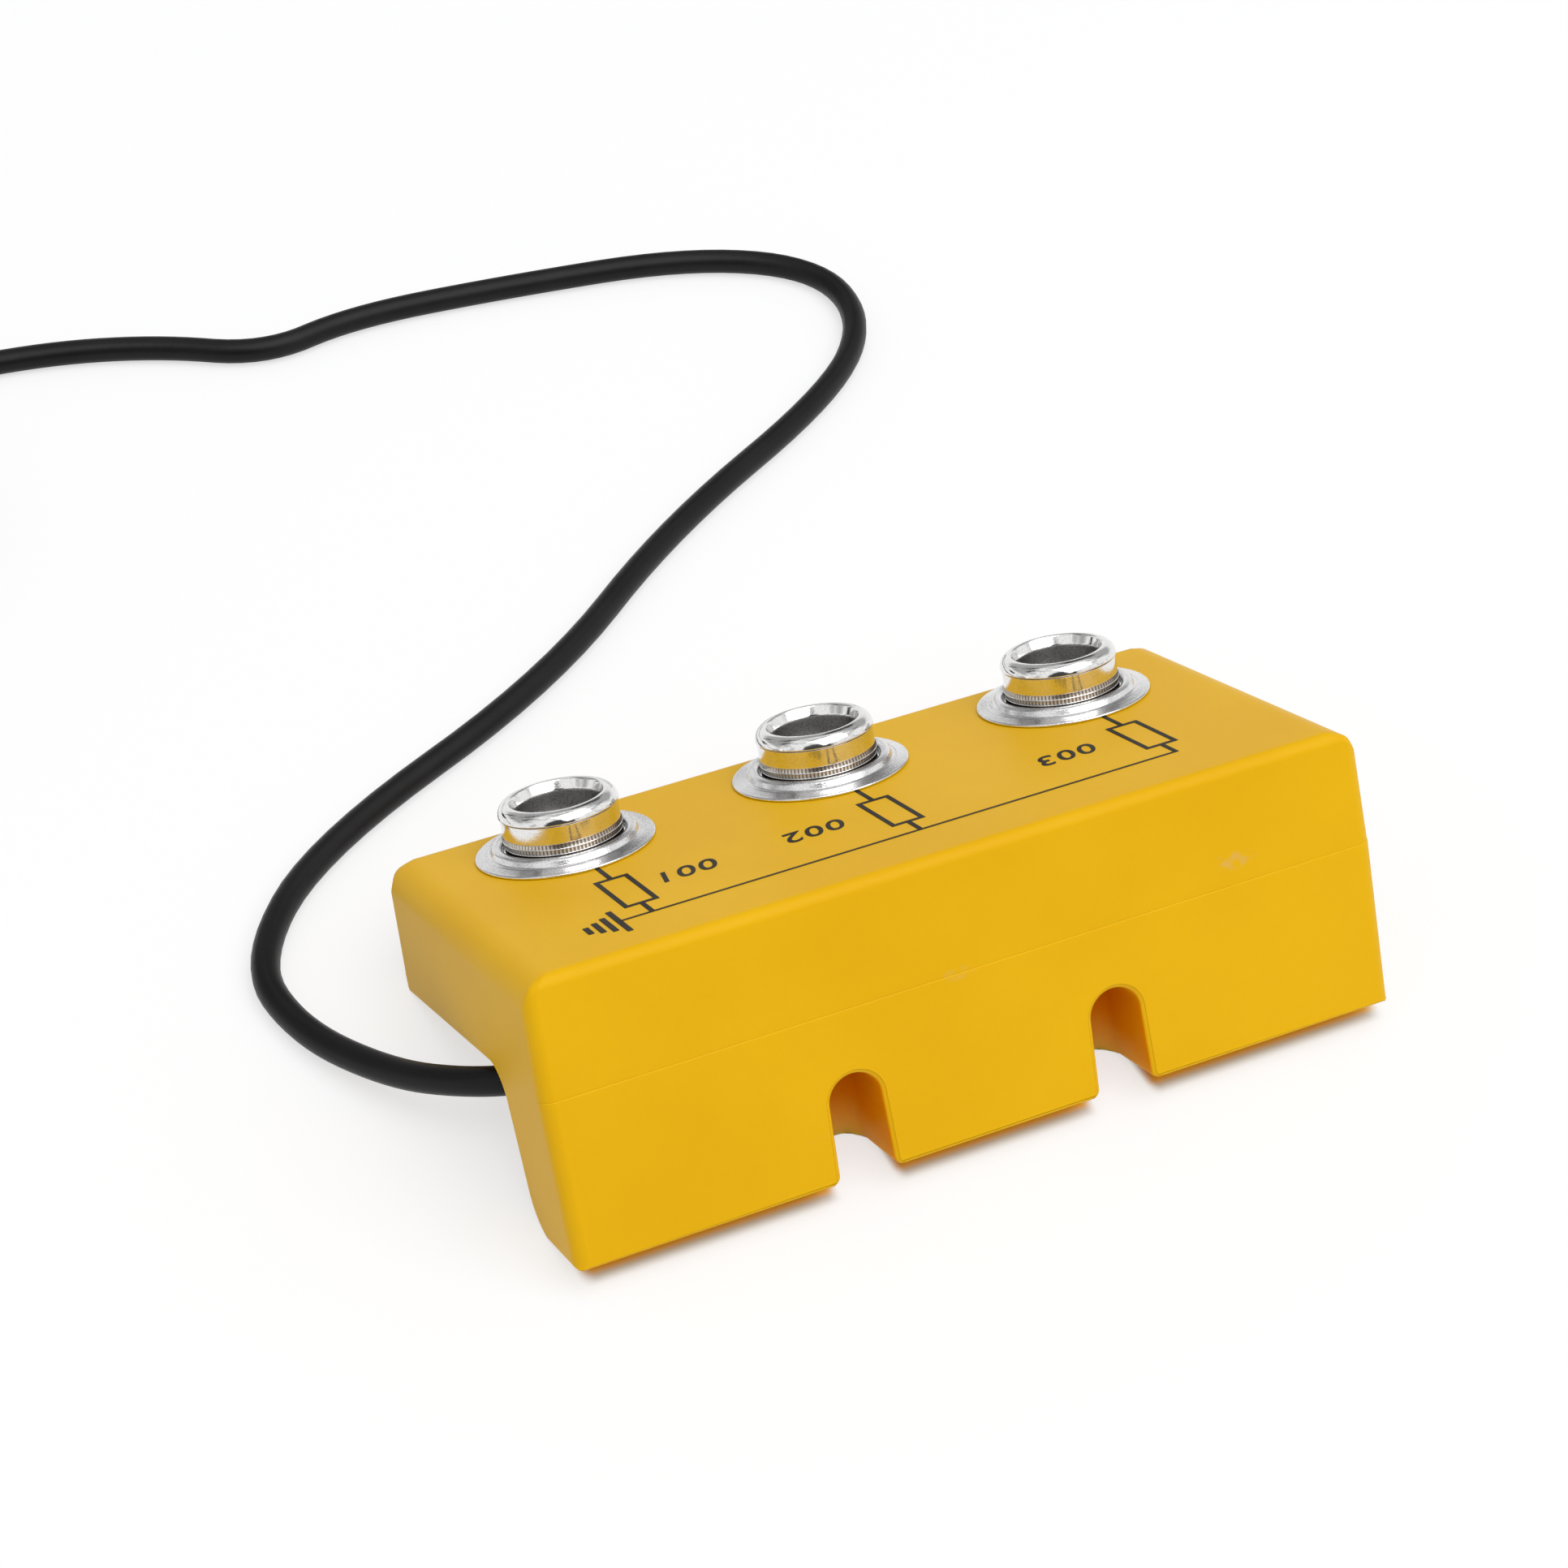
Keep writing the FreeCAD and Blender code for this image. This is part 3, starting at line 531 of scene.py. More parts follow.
# %% Sizes of the block
LENGTH = 72.7
DEPTH = 36.0
HEIGHT = 24.05
UNDERSIDE = 13.65            # of the slab, where it meets the leg
UNDERSIDE_BACK = 12.5
SEAM = 14.15
LEG_TOP = 10.5
LEG_FOOT = 9.2
DRAFT_TOP = 0.25
DRAFT_FOOT = 0.1
BACK_DRAFT = 0.3
SEAM_STEP = 0.08             # how far the lower shell stands proud of the upper one, front and back
SEAM_EDGE = 0.14             # rounding of that step in front
FRONT = 0.5                  # what lies nearer to the mounting face than this is in front
WALL = 2.0
CEILING = 21.55
PLATE_TOP = 15.3
HALF = LENGTH / 2
print("block", LENGTH, DEPTH, HEIGHT, "seam at", SEAM)

# %% [markdown]
# The block's roundings all differ. They could be cut one after the other, but where three meet,
# later ones would break the earlier. So each edge gets its own share of one bevel, and the bevel
# blends them at the corners.

# %% Roundings of the block
ROUNDINGS = {
    "front top": 1.0,
    "end top": 2.6,
    "back top": 2.2,
    "front upright": 1.2,
    "back upright": 1.4,
    "under end": 0.3,
    "under back": 1.4,
    "leg front": 0.3,
}
WIDEST = max(ROUNDINGS.values())
print("roundings up to", WIDEST)


def rounding(edge):
    """Which rounding an edge of the blank gets, by its place."""
    a, b = (corner.co for corner in edge.verts)
    low, high = min(a.z, b.z), max(a.z, b.z)
    lengthwise = runs_along(edge, X)
    at_end = min(abs(a.x), abs(b.x)) > HALF - LONG
    upright = at_end and high - low > TINY
    if near(low, HEIGHT):
        if lengthwise:
            return ROUNDINGS["front top"] if a.y < LONG else ROUNDINGS["back top"]
        return ROUNDINGS["end top"]
    if upright and max(a.y, b.y) < TINY:
        return ROUNDINGS["front upright"]
    if upright and min(a.y, b.y) > DEPTH - LONG:
        return ROUNDINGS["back upright"]
    if near(high, 0) and at_end and abs(a.y - b.y) > TINY:
        return ROUNDINGS["under end"]
    if near(high, 0) and lengthwise and a.y < TINY:
        return ROUNDINGS["leg front"]
    if near(low, UNDERSIDE_BACK) and near(high, UNDERSIDE_BACK) and lengthwise:
        return ROUNDINGS["under back"]
    if at_end and high < UNDERSIDE + TINY and min(a.y, b.y) > LONG and not lengthwise:
        return ROUNDINGS["under end"]
    return 0.0


# %% [markdown]
# Both shells come from one blank. The L could be a drawn outline pulled to the block's length, but
# its ends aren't flat: they draw in above and below the seam. A box that is extruded, cut at the
# seam and scaled at its top and foot gets that in a few steps. The large inner corner and the
# leg's round back are bevelled first, while their edges are still single ones.

# %% Blank of the block
INNER_CORNER = 2.6
LEG_BACK = 3.5


def blank():
    piece = box_from((-HALF, 0, UNDERSIDE), (HALF, DEPTH, HEIGHT))
    edit(piece)
    bpy.ops.mesh.select_all(action="SELECT")
    bpy.ops.mesh.bisect(plane_co=(0, LEG_TOP, 0), plane_no=(0, 1, 0))
    pick(piece, "FACE", lambda f: faces_down(f) and f.calc_center_median().y < LEG_TOP)
    pull(0, 0, -UNDERSIDE)
    pick(piece, "VERT", lambda v: near(v.co.z, 0) and near(v.co.y, LEG_TOP))
    bpy.ops.transform.translate(value=(0, LEG_FOOT - LEG_TOP, 0))
    bpy.ops.mesh.select_all(action="SELECT")
    bpy.ops.mesh.bisect(plane_co=(0, 0, SEAM), plane_no=(0, 0, 1))
    pick(piece, "VERT", lambda v: near(v.co.z, HEIGHT))
    stretch((1 - DRAFT_TOP / HALF, 1, 1), (0, 0, HEIGHT))
    pick(piece, "VERT", lambda v: near(v.co.z, HEIGHT) and near(v.co.y, DEPTH))
    bpy.ops.transform.translate(value=(0, -BACK_DRAFT, 0))
    pick(piece, "VERT", lambda v: near(v.co.z, 0))
    stretch((1 - DRAFT_FOOT / HALF, 1, 1), (0, 0, 0))
    pick(piece, "VERT", lambda v: near(v.co.z, UNDERSIDE) and near(v.co.y, DEPTH))
    bpy.ops.transform.translate(value=(0, 0, UNDERSIDE_BACK - UNDERSIDE))
    pick(piece, "EDGE", lambda e: both(e, lambda c: near(c.y, LEG_TOP) and near(c.z, UNDERSIDE)))
    round_edges(INNER_CORNER, 10)
    pick(piece, "EDGE", lambda e: both(e, lambda c: near(c.y, LEG_FOOT) and near(c.z, 0)))
    round_edges(LEG_BACK, 12)
    mesh = bmesh.from_edit_mesh(piece.data)
    weight = mesh.edges.layers.float.new("bevel_weight_edge")
    for edge in mesh.edges:
        edge[weight] = rounding(edge) / WIDEST
    bmesh.update_edit_mesh(piece.data)
    leave()
    apply_modifier(
        piece, "BEVEL", width=WIDEST, segments=8, limit_method="WEIGHT", use_clamp_overlap=False)
    return piece


upper = blank()
print("blank faces", len(upper.data.polygons))

# %% [markdown]
# The blank is copied and each copy loses one side of the seam. The foot's corners, seen from the
# front, are rounded by themselves: one more share of the bevel would spoil the corners where it
# meets the others, so the lower shell is cut to a second, plain shape that has them. Last, the
# lower shell is made a little deeper than the upper one, and that makes the fine step of the seam.

# %% Two shells from one blank
FOOT_CORNER = 0.6
SOFT_EDGE = 0.06
SHARP = math.radians(50)
WELD = 0.004                 # corners nearer than this are joined
SPARE = 0.1                  # by which the foot's outline clears the widest line


def foot_outline():
    """A block whose outline, seen from the front, has the foot's rounded corners."""
    wide = HALF + PAST
    piece = box_from((-wide, -PAST, 0), (wide, DEPTH + PAST, HEIGHT + PAST))
    edit(piece)
    pick(piece, "VERT", lambda v: near(v.co.z, 0))
    stretch(((HALF - DRAFT_FOOT) / wide, 1, 1), (0, 0, 0))
    pick(piece, "VERT", lambda v: v.co.z > LONG)
    stretch(((HALF + SPARE) / wide, 1, 1), (0, 0, 0))
    pick(piece, "EDGE", lambda e: both(e, lambda c: near(c.z, 0)) and runs_along(e, Y))
    round_edges(FOOT_CORNER, 8)
    leave()
    return piece


def tidy_mesh(piece):
    """Join corners that lie on each other and drop edges and points without a face."""
    edit(piece)
    bpy.ops.mesh.select_all(action="SELECT")
    bpy.ops.mesh.remove_doubles(threshold=WELD)
    bpy.ops.mesh.dissolve_degenerate(threshold=WELD)
    bpy.ops.mesh.delete_loose(use_verts=True, use_edges=True, use_faces=False)
    leave()


def soften(piece, keep):
    """A fine rounding on every sharp edge but those that are kept."""
    edit(piece)
    pick(piece, "EDGE", lambda e: e.calc_face_angle(0) > SHARP and not both(e, keep))
    round_edges(SOFT_EDGE, 2)
    leave()


def part_at_seam(piece, keep_upper):
    edit(piece)
    bpy.ops.mesh.select_all(action="SELECT")
    bpy.ops.mesh.bisect(
        plane_co=(0, 0, SEAM), plane_no=(0, 0, 1), use_fill=True,
        clear_inner=keep_upper, clear_outer=not keep_upper)
    leave()
    tidy_mesh(piece)


bpy.ops.object.select_all(action="DESELECT")
lower = upper.copy()
lower.data = upper.data.copy()
bpy.context.scene.collection.objects.link(lower)
part_at_seam(upper, True)
part_at_seam(lower, False)
combine(lower, foot_outline(), "INTERSECT")
to_middle = Matrix.Translation((0, DEPTH / 2, 0))
swell = Matrix.Diagonal((1, 1 + 2 * SEAM_STEP / DEPTH, 1, 1))
lower.data.transform(to_middle @ swell @ to_middle.inverted())
print("shell faces", len(upper.data.polygons), len(lower.data.polygons))

# %% [markdown]
# The upper shell is a lid with a cavity for the wiring and a hole under each stud. A solid block
# would look the same from outside, but it is opened when the block is taken apart, so the walls
# are real. A box and three rods cut them, and every sharp edge is then softened a little, as
# moulded edges are.

# %% Upper shell
STUD_PLACES = (-23.0, 0.0, 23.0)
RIVET_HOLE = 2.1

cavity = box_from((-HALF + WALL, WALL, SEAM - PAST), (HALF - WALL, DEPTH - WALL, CEILING))
combine(upper, cavity, "DIFFERENCE")
for x in STUD_PLACES:
    combine(upper, rod(RIVET_HOLE, THROUGH, (x, STUD_ROW, CEILING)), "DIFFERENCE")
tidy_mesh(upper)
soften(upper, lambda c: near(c.z, SEAM))
smooth(upper, 60)
dress(upper, YELLOW)
settle(upper, "housing_shell")
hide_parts("stud_housing")

# %% [markdown]
# The lower shell closes the lid with a plate and carries the leg. Two slots are cut into the leg,
# open in front and below, and a thin wall closes them behind. Each slot could be cut sharp and its
# edges bevelled, but the bevel would have to turn a tight corner at the mouth. So the cutter
# itself is shaped: a box whose top is rounded over fully and whose foot spreads, for soft corners
# at the mouth. Its front end spreads too, ring by ring along a quarter circle, and rounds the
# slot's front edge.

# %% Cutter for a slot
SLOT_WIDTH = 4.4
SLOT_DEPTH = 8.7
SLOT_REACH = 7.6
SLOT_BACK_ROUND = 1.6
SLOT_PLACES = (-11.5, 11.5)
MOUTH_ROUND = 0.7
MOUTH_RINGS = 5
SLOT_DRAFT = 0.15
FRONT_ROUND = 0.35
FRONT_RINGS = 5
print("slots", SLOT_WIDTH, "wide,", SLOT_DEPTH, "high,", SLOT_REACH, "deep")


def pick_front(piece, place):
    pick(piece, "FACE", lambda f: all(near(corner.co.y, place) for corner in f.verts))


def at_back(edge):
    """Whether an edge is at the slot's back end, but not at its open foot."""
    foot = both(edge, lambda c: near(c.z, MOUTH_ROUND))
    return both(edge, lambda c: near(c.y, SLOT_REACH)) and not foot


def slot_cutter(x):
    half = SLOT_WIDTH / 2
    straight = SLOT_DEPTH - half
    piece = box_from((x - half, FRONT_ROUND, MOUTH_ROUND), (x + half, SLOT_REACH, SLOT_DEPTH))
    edit(piece)
    pick(piece, "EDGE", lambda e: both(e, lambda c: near(c.z, SLOT_DEPTH)) and runs_along(e, Y))
    round_edges(half - TINY, 16)
    pick(piece, "EDGE", at_back)
    round_edges(SLOT_BACK_ROUND, 10)
    pick(piece, "FACE", lambda f: faces_down(f) and near(f.calc_center_median().z, MOUTH_ROUND))
    wide = half + SLOT_DRAFT
    stretch((wide / half, 1, 1), (x, 0, 0))
    height = MOUTH_ROUND
    for step in range(1, MOUTH_RINGS + 1):
        angle = math.radians(90 * step / MOUTH_RINGS)
        next_height = MOUTH_ROUND * (1 - math.sin(angle))
        next_wide = half + SLOT_DRAFT + MOUTH_ROUND * (1 - math.cos(angle))
        pull(0, 0, next_height - height)
        stretch((next_wide / wide, 1, 1), (x, 0, 0))
        height = next_height
        wide = next_wide
    pull(0, 0, -PAST)
    place = FRONT_ROUND
    spread = 0.0
    for step in range(1, FRONT_RINGS + 1):
        angle = math.radians(90 * step / FRONT_RINGS)
        next_place = FRONT_ROUND * (1 - math.sin(angle))
        next_spread = FRONT_ROUND * (1 - math.cos(angle))
        pick_front(piece, place)
        pull(0, next_place - place, 0)
        factor = (half + next_spread) / (half + spread)
        stretch((factor, 1, 1), (x, 0, 0))
        pick(piece, "VERT", lambda v: near(v.co.y, next_place) and v.co.z > straight)
        stretch((1, 1, factor), (x, 0, straight))
        place = next_place
        spread = next_spread
    pick_front(piece, place)
    pull(0, -PAST, 0)
    bpy.ops.mesh.select_all(action="SELECT")
    bpy.ops.mesh.normals_make_consistent(inside=False)
    leave()
    return piece


# %% [markdown]
# The rest of the lower shell is joined and cut in the order of its making: a tongue that locates
# the lid, the boss under the slab through which the lead leaves, then the slots and the bores. The
# tongue and the boss could be pieces of their own, but they are moulded with the shell, so they
# are joined to it. The step at the seam is rounded in front only, where it shows as a fine light
# line.

# %% Lower shell
TONGUE_GAP = 2.15
TONGUE_SUNK = 0.5
BOSS_LOW = (-20.0, LEG_FOOT, 8.3)
BOSS_SUNK = 0.5              # into the plate above it
BOSS_HIGH = (-9.0, 15.9, UNDERSIDE + BOSS_SUNK)
BOSS_ROUND = 0.8
OUTLET = (-14.6, 13.1, 10.9)
OUTLET_LENGTH = 9
RISER = (-12.5, 13.1, 14.1)
BORE = 1.4
SOCKET = (-21.0, OUTLET[1], OUTLET[2])
SOCKET_BORE = 2.15
ACROSS = (0, math.radians(90), 0)

tongue = box_from(
    (-HALF + TONGUE_GAP, TONGUE_GAP, SEAM - TONGUE_SUNK),
    (HALF - TONGUE_GAP, DEPTH - TONGUE_GAP, PLATE_TOP))
combine(lower, tongue, "UNION")
boss = box_from(BOSS_LOW, BOSS_HIGH)


def under_boss(edge):
    """Whether an edge is under the boss and clear of the leg."""
    clear = max(corner.co.y for corner in edge.verts) > LEG_TOP
    return clear and both(edge, lambda c: near(c.z, BOSS_LOW[2]))


edit(boss)
pick(boss, "EDGE", under_boss)
round_edges(BOSS_ROUND, 5)
leave()
combine(lower, boss, "UNION")
for x in SLOT_PLACES:
    combine(lower, slot_cutter(x), "DIFFERENCE")
combine(lower, rod(BORE, OUTLET_LENGTH, OUTLET, ACROSS), "DIFFERENCE")
combine(lower, rod(SOCKET_BORE, THROUGH, SOCKET, ACROSS), "DIFFERENCE")
combine(lower, rod(BORE, THROUGH, RISER), "DIFFERENCE")
tidy_mesh(lower)
edit(lower)
pick(lower, "EDGE", lambda e: both(e, lambda c: near(c.z, SEAM) and c.y < FRONT))
round_edges(SEAM_EDGE, 3)
leave()
soften(lower, lambda c: c.z > SEAM - TINY)
smooth(lower, 60)
dress(lower, YELLOW, SLOT_SHADE_YELLOW)


def in_slot(face):
    """Whether a face lies in a slot of the leg, behind its rounded front edge."""
    reach = SLOT_WIDTH / 2 + SLOT_DRAFT + MOUTH_ROUND / 2
    beside = any(abs(face.center.x - x) < reach for x in SLOT_PLACES)
    behind = FRONT_ROUND / 2 < face.center.y < SLOT_REACH + TINY
    return beside and behind and face.center.z < SLOT_DEPTH + TINY


# The faces in the slots get the painted deep orange shade of bounced light.
for face in lower.data.polygons:
    if in_slot(face):
        face.material_index = 1
settle(lower, "base_shell")
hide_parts("mounting_base")

# %% [markdown]
# A press stud is drawn from sheet and is round all the way, so its profile says everything. A
# curve could be spun by a modifier. Here a ring of edges is pulled along the profile, a step at a
# time, and scaled to each radius, which keeps every ring even. Arcs are sampled by a formula.

# %% Turned pieces
RING_SIDES = 192


def arc(centre, radius, start, end, steps):
    """Points of an arc in the plane of radius and height, with angles in degrees."""
    angles = [math.radians(start + (end - start) * i / steps) for i in range(steps + 1)]
    return [(centre[0] + radius * math.cos(a), centre[1] + radius * math.sin(a)) for a in angles]


def lathe(profile):
    """Closed profile of (radius, height) points, pulled round the z axis as a ring of edges."""
    radius, height = profile[0]
    bpy.ops.object.select_all(action="DESELECT")
    bpy.ops.mesh.primitive_circle_add(
        vertices=RING_SIDES, radius=radius, fill_type="NOTHING", location=(0, 0, height))
    piece = applied()
    edit(piece)
    bpy.ops.mesh.select_mode(type="EDGE")
    bpy.ops.mesh.select_all(action="SELECT")
    for next_radius, next_height in profile[1:]:
        move = (0, 0, next_height - height)
        bpy.ops.mesh.extrude_edges_move(TRANSFORM_OT_translate={"value": move})
        scale = next_radius / radius
        stretch((scale, scale, 1), (0, 0, next_height))
        radius, height = next_radius, next_height
    mesh = bmesh.from_edit_mesh(piece.data)
    rims = [edge for edge in mesh.edges if edge.is_boundary]
    bpy.ops.mesh.select_all(action="DESELECT")
    for edge in rims:
        edge.select_set(True)
    bmesh.update_edit_mesh(piece.data)
    bpy.ops.mesh.bridge_edge_loops()
    bpy.ops.mesh.select_all(action="SELECT")
    bpy.ops.mesh.normals_make_consistent(inside=False)
    leave()
    return piece


# %% [markdown]
# The post has a foot, a straight barrel, the rolled bead that the strap's socket snaps over, and a
# bore. Two low bands at its foot carry fine upright teeth from the press tool. Teeth could be
# faked in bump, but they show at the outline, so every other corner of their rings is drawn in a
# little. The flange is a flat rim with a low ridge that holds the post's foot.

# %% Profiles of the post and the flange
SEAT = 0.45
BARREL = 4.90
BARREL_FOOT = 1.96
BARREL_TOP = 3.40
SUPPORT = 0.05               # a ring this far inside a straight band keeps its shading straight
POST = (
    [(RIVET_HOLE, SEAT), (4.86, SEAT), (4.92, 0.50), (4.92, 0.55), (4.92, 1.00)]
    + [(4.95, 1.04), (4.95, 1.08), (4.94, 1.44), (4.92, 1.48)]
    + [(5.00, 1.51), (5.00, 1.55), (4.91, 1.88), (4.89, 1.92)]
    + [(BARREL, BARREL_FOOT), (BARREL, BARREL_FOOT + SUPPORT)]
    + [(BARREL, BARREL_TOP - SUPPORT), (BARREL, BARREL_TOP)]
    + [(4.96, 3.46), (5.00, 3.50)]
    + arc((3.436, 3.327), 1.6, 8, 25, 8)
    + arc((4.107, 3.640), 0.86, 30, 100, 16)
    + [(3.90, 4.42), (3.86, 4.34), (3.62, 3.78), (3.58, 3.68), (3.55, 3.56)]
    + [(3.55, 3.4), (3.55, 1.3), (3.35, 1.1), (RIVET_HOLE, 1.1)]
)
FLANGE = (
    [(RIVET_HOLE, 0.0), (7.3, 0.0)]
    + arc((7.35, 0.15), 0.15, -80, 90, 8)
    + [(7.24, 0.31), (7.1, 0.335), (6.9, 0.375), (6.7, 0.415), (6.56, 0.445)]
    + arc((6.46, 0.86), 0.42, -77, -135, 8)
    + arc((5.62, 0.60), 0.52, 38, 160, 16)
    + [(5.11, 0.62), (5.05, 0.50), (5.04, SEAT)]
    + [(RIVET_HOLE, SEAT)]
)
print("profile points", len(POST), len(FLANGE))

# %% [markdown]
# One post and one flange are turned, toothed and dressed, and copies of them stand in the row. The
# post's faces get their finish by radius and height. They could be painted by hand, but a rule
# holds when the profile changes.

# %% Studs in a row
BORE_EDGE = 3.61
BORE_TOP = 3.73
SHADED_CREVICES = ((0.5, 1.02), (BARREL_TOP, 3.48))    # heights at which the crevices are painted dark as shade
TOOTHED = ((1.06, 1.46), (1.53, 1.90))
TOOTH = 0.08
IN_BORE, IN_SHADED_CREVICE, ON_TOOTH = 1, 2, 3         # places in the post's list of finishes
NAMES = ("left", "middle", "right")


def turn_part(point):
    """Where a point stands round the axis, in sides of the ring."""
    return math.degrees(math.atan2(point.y, point.x)) / 360 * RING_SIDES


def within(height, bands):
    return any(low < height < high for low, high in bands)


post_model = lathe(POST)
for corner in post_model.data.vertices:
    toothed = within(corner.co.z, TOOTHED) and corner.co.xy.length > BARREL - TINY
    if toothed and round(turn_part(corner.co)) % 2:
        corner.co.x *= 1 - TOOTH / BARREL
        corner.co.y *= 1 - TOOTH / BARREL
flange_model = lathe(FLANGE)
smooth(post_model, 50)
smooth(flange_model, 50)
dress(post_model, BRIGHT_NICKEL, BORE_NICKEL, CREVICE_SHADE_NICKEL, TOOTH_NICKEL, NOTCH_SHADE_NICKEL)
dress(flange_model, FLANGE_NICKEL)
for face in post_model.data.polygons:
    radius = face.center.xy.length
    if radius < BORE_EDGE and face.center.z < BORE_TOP:
        face.material_index = IN_BORE
    # faces in the crevices get the near-black painted shade
    elif radius > BARREL - 2 * TOOTH and within(face.center.z, SHADED_CREVICES):
        face.material_index = IN_SHADED_CREVICE
    elif radius > BARREL - 2 * TOOTH and within(face.center.z, TOOTHED):
        # every other facet, one slope of each tooth, gets the darker painted shade
        face.material_index = ON_TOOTH + math.floor(turn_part(face.center)) % 2
kinds = ((post_model, "post", "stud_post_"), (flange_model, "flange", "stud_flange_"))
for model, kind, node in kinds:
    for x, name in zip(STUD_PLACES, NAMES):
        piece = model.copy()
        piece.data = model.data.copy()
        piece.data.transform(Matrix.Translation((x, STUD_ROW, HEIGHT)))
        bpy.context.scene.collection.objects.link(piece)
        settle(piece, "%s_%s" % (kind, name))
        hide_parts(node + name)
    bpy.data.objects.remove(model)

# %% [markdown]
# The face is screen printed with a diagram of what is inside: each stud goes through a resistor to
# one common line, which ends at the earth symbol. It could be drawn into the plastic's colour, but
# masks for so many lines are hard to read. Ink has a thickness, a few hundredths of a millimetre,
# so each line is a very thin bar on the face, and each number is a text turned into a mesh.

# %% Ink lines
INK_TOP = 0.03
INK_SUNK = 0.02
INK_CORNER = 0.07
LINE = 0.42
OVERLAP = 0.1                # of a line with the resistor that it meets
UNDER_FLANGE = 0.9           # how far a line goes on under the flange
DIAGRAM_SHIFT = 0.08         # of the print to the right of the studs
RESISTOR_WIDE = 2.95
RESISTOR_FRONT = 8.75
RESISTOR_BACK = 16.05
BUS = 6.45
BUS_LINE = 0.28
FLANGE_RADIUS = 7.5
FLANGE_FRONT = STUD_ROW - FLANGE_RADIUS
EARTH_BARS = ((-25.72, 3.85, 9.05), (-26.6, 4.65, 8.1), (-27.45, 5.1, 7.6), (-28.3, 5.55, 7.15))
EARTH_LINE = 0.5
NUMBER_SIZE = 3.3
NUMBER_BOLD = 0.04
NUMBER_SLANT = 0.2
NUMBER_SPACE = 1.12
NUMBERS = (("001", -17.4, 12.9), ("002", -6.2, 13.1), ("003", 16.6, 13.1))


def ink_bar(low_x, low_y, high_x, high_y):
    """A printed bar with slightly rounded corners."""
    piece = box_from((low_x, low_y, HEIGHT - INK_SUNK), (high_x, high_y, HEIGHT + INK_TOP))
    edit(piece)
    pick(piece, "EDGE", lambda e: abs(e.verts[0].co.z - e.verts[1].co.z) > INK_TOP)
    round_edges(INK_CORNER, 3)
    leave()
    return piece


def ink_line(x, front, back):
    return ink_bar(x - LINE / 2, front, x + LINE / 2, back)


def ink_frame(x):
    """The outline of a resistor: a plate whose middle is taken out, then made ink-thick."""
    bpy.ops.object.select_all(action="DESELECT")
    bpy.ops.mesh.primitive_plane_add(
        size=1, location=(x, (RESISTOR_FRONT + RESISTOR_BACK) / 2, HEIGHT - INK_SUNK))
    bpy.context.active_object.scale = (RESISTOR_WIDE, RESISTOR_BACK - RESISTOR_FRONT, 1)
    piece = applied()
    edit(piece)
    bpy.ops.mesh.select_all(action="SELECT")
    bpy.ops.mesh.inset(thickness=LINE)
    bpy.ops.mesh.delete(type="FACE")
    bpy.ops.mesh.select_all(action="SELECT")
    pull(0, 0, INK_SUNK + INK_TOP)
    bpy.ops.mesh.select_all(action="SELECT")
    bpy.ops.mesh.normals_make_consistent(inside=False)
    leave()
    return piece


def ink_number(text, x, y):
    bpy.ops.object.select_all(action="DESELECT")
    bpy.ops.object.text_add(location=(x, y, HEIGHT - INK_SUNK), rotation=(0, 0, math.pi))
    letters = bpy.context.active_object.data
    letters.body = text
    letters.size = NUMBER_SIZE
    letters.align_x = "CENTER"
    letters.align_y = "CENTER"
    letters.shear = NUMBER_SLANT
    letters.offset = NUMBER_BOLD
    letters.space_character = NUMBER_SPACE
    letters.extrude = (INK_SUNK + INK_TOP) / 2
    bpy.ops.object.convert(target="MESH")
    piece = bpy.context.active_object
    piece.data.transform(Matrix.Translation((0, 0, (INK_SUNK + INK_TOP) / 2)))
    return applied()


# %% [markdown]
# The print is one piece, as one pull of the screen makes it. Its bars could stay apart, but then
# taking the block apart would scatter them. The plain numbers are read from the back of the block,
# so they are upside down to this camera.

# %% Printed diagram
ink = []
for x in STUD_PLACES:
    middle = x + DIAGRAM_SHIFT
    ink.append(ink_frame(middle))
    ink.append(ink_line(middle, RESISTOR_BACK - OVERLAP, FLANGE_FRONT + UNDER_FLANGE))
    ink.append(ink_line(middle, BUS, RESISTOR_FRONT + OVERLAP))
bus_end = STUD_PLACES[-1] + DIAGRAM_SHIFT + LINE / 2
ink.append(ink_bar(EARTH_BARS[0][0], BUS - BUS_LINE / 2, bus_end, BUS + BUS_LINE / 2))
for x, low, high in EARTH_BARS:
    ink.append(ink_bar(x - EARTH_LINE / 2, low, x + EARTH_LINE / 2, high))
for number in NUMBERS:
    ink.append(ink_number(*number))
bpy.ops.object.select_all(action="DESELECT")
for piece in ink:
    piece.select_set(True)
bpy.context.view_layer.objects.active = ink[0]
bpy.ops.object.join()
diagram = bpy.context.active_object
smooth(diagram, 30)
dress(diagram, INK)
settle(diagram, "printed_diagram")

# %% [markdown]
# The earth lead is a soft round cord, 2.5 mm thick and about 1.5 m long. It leaves under the slab,
# sweeps round the block in a wide loop and goes off to the left, where its spare length is wound
# into a neat coil. A simulated rope would lie just as well but never twice the same. So the route
# is a list of points. The coil's turns are more points of the same line, from a formula: it winds
# in and out again at a steady rate and climbs a layer each time it turns back, as one winds a
# spare cord by hand.

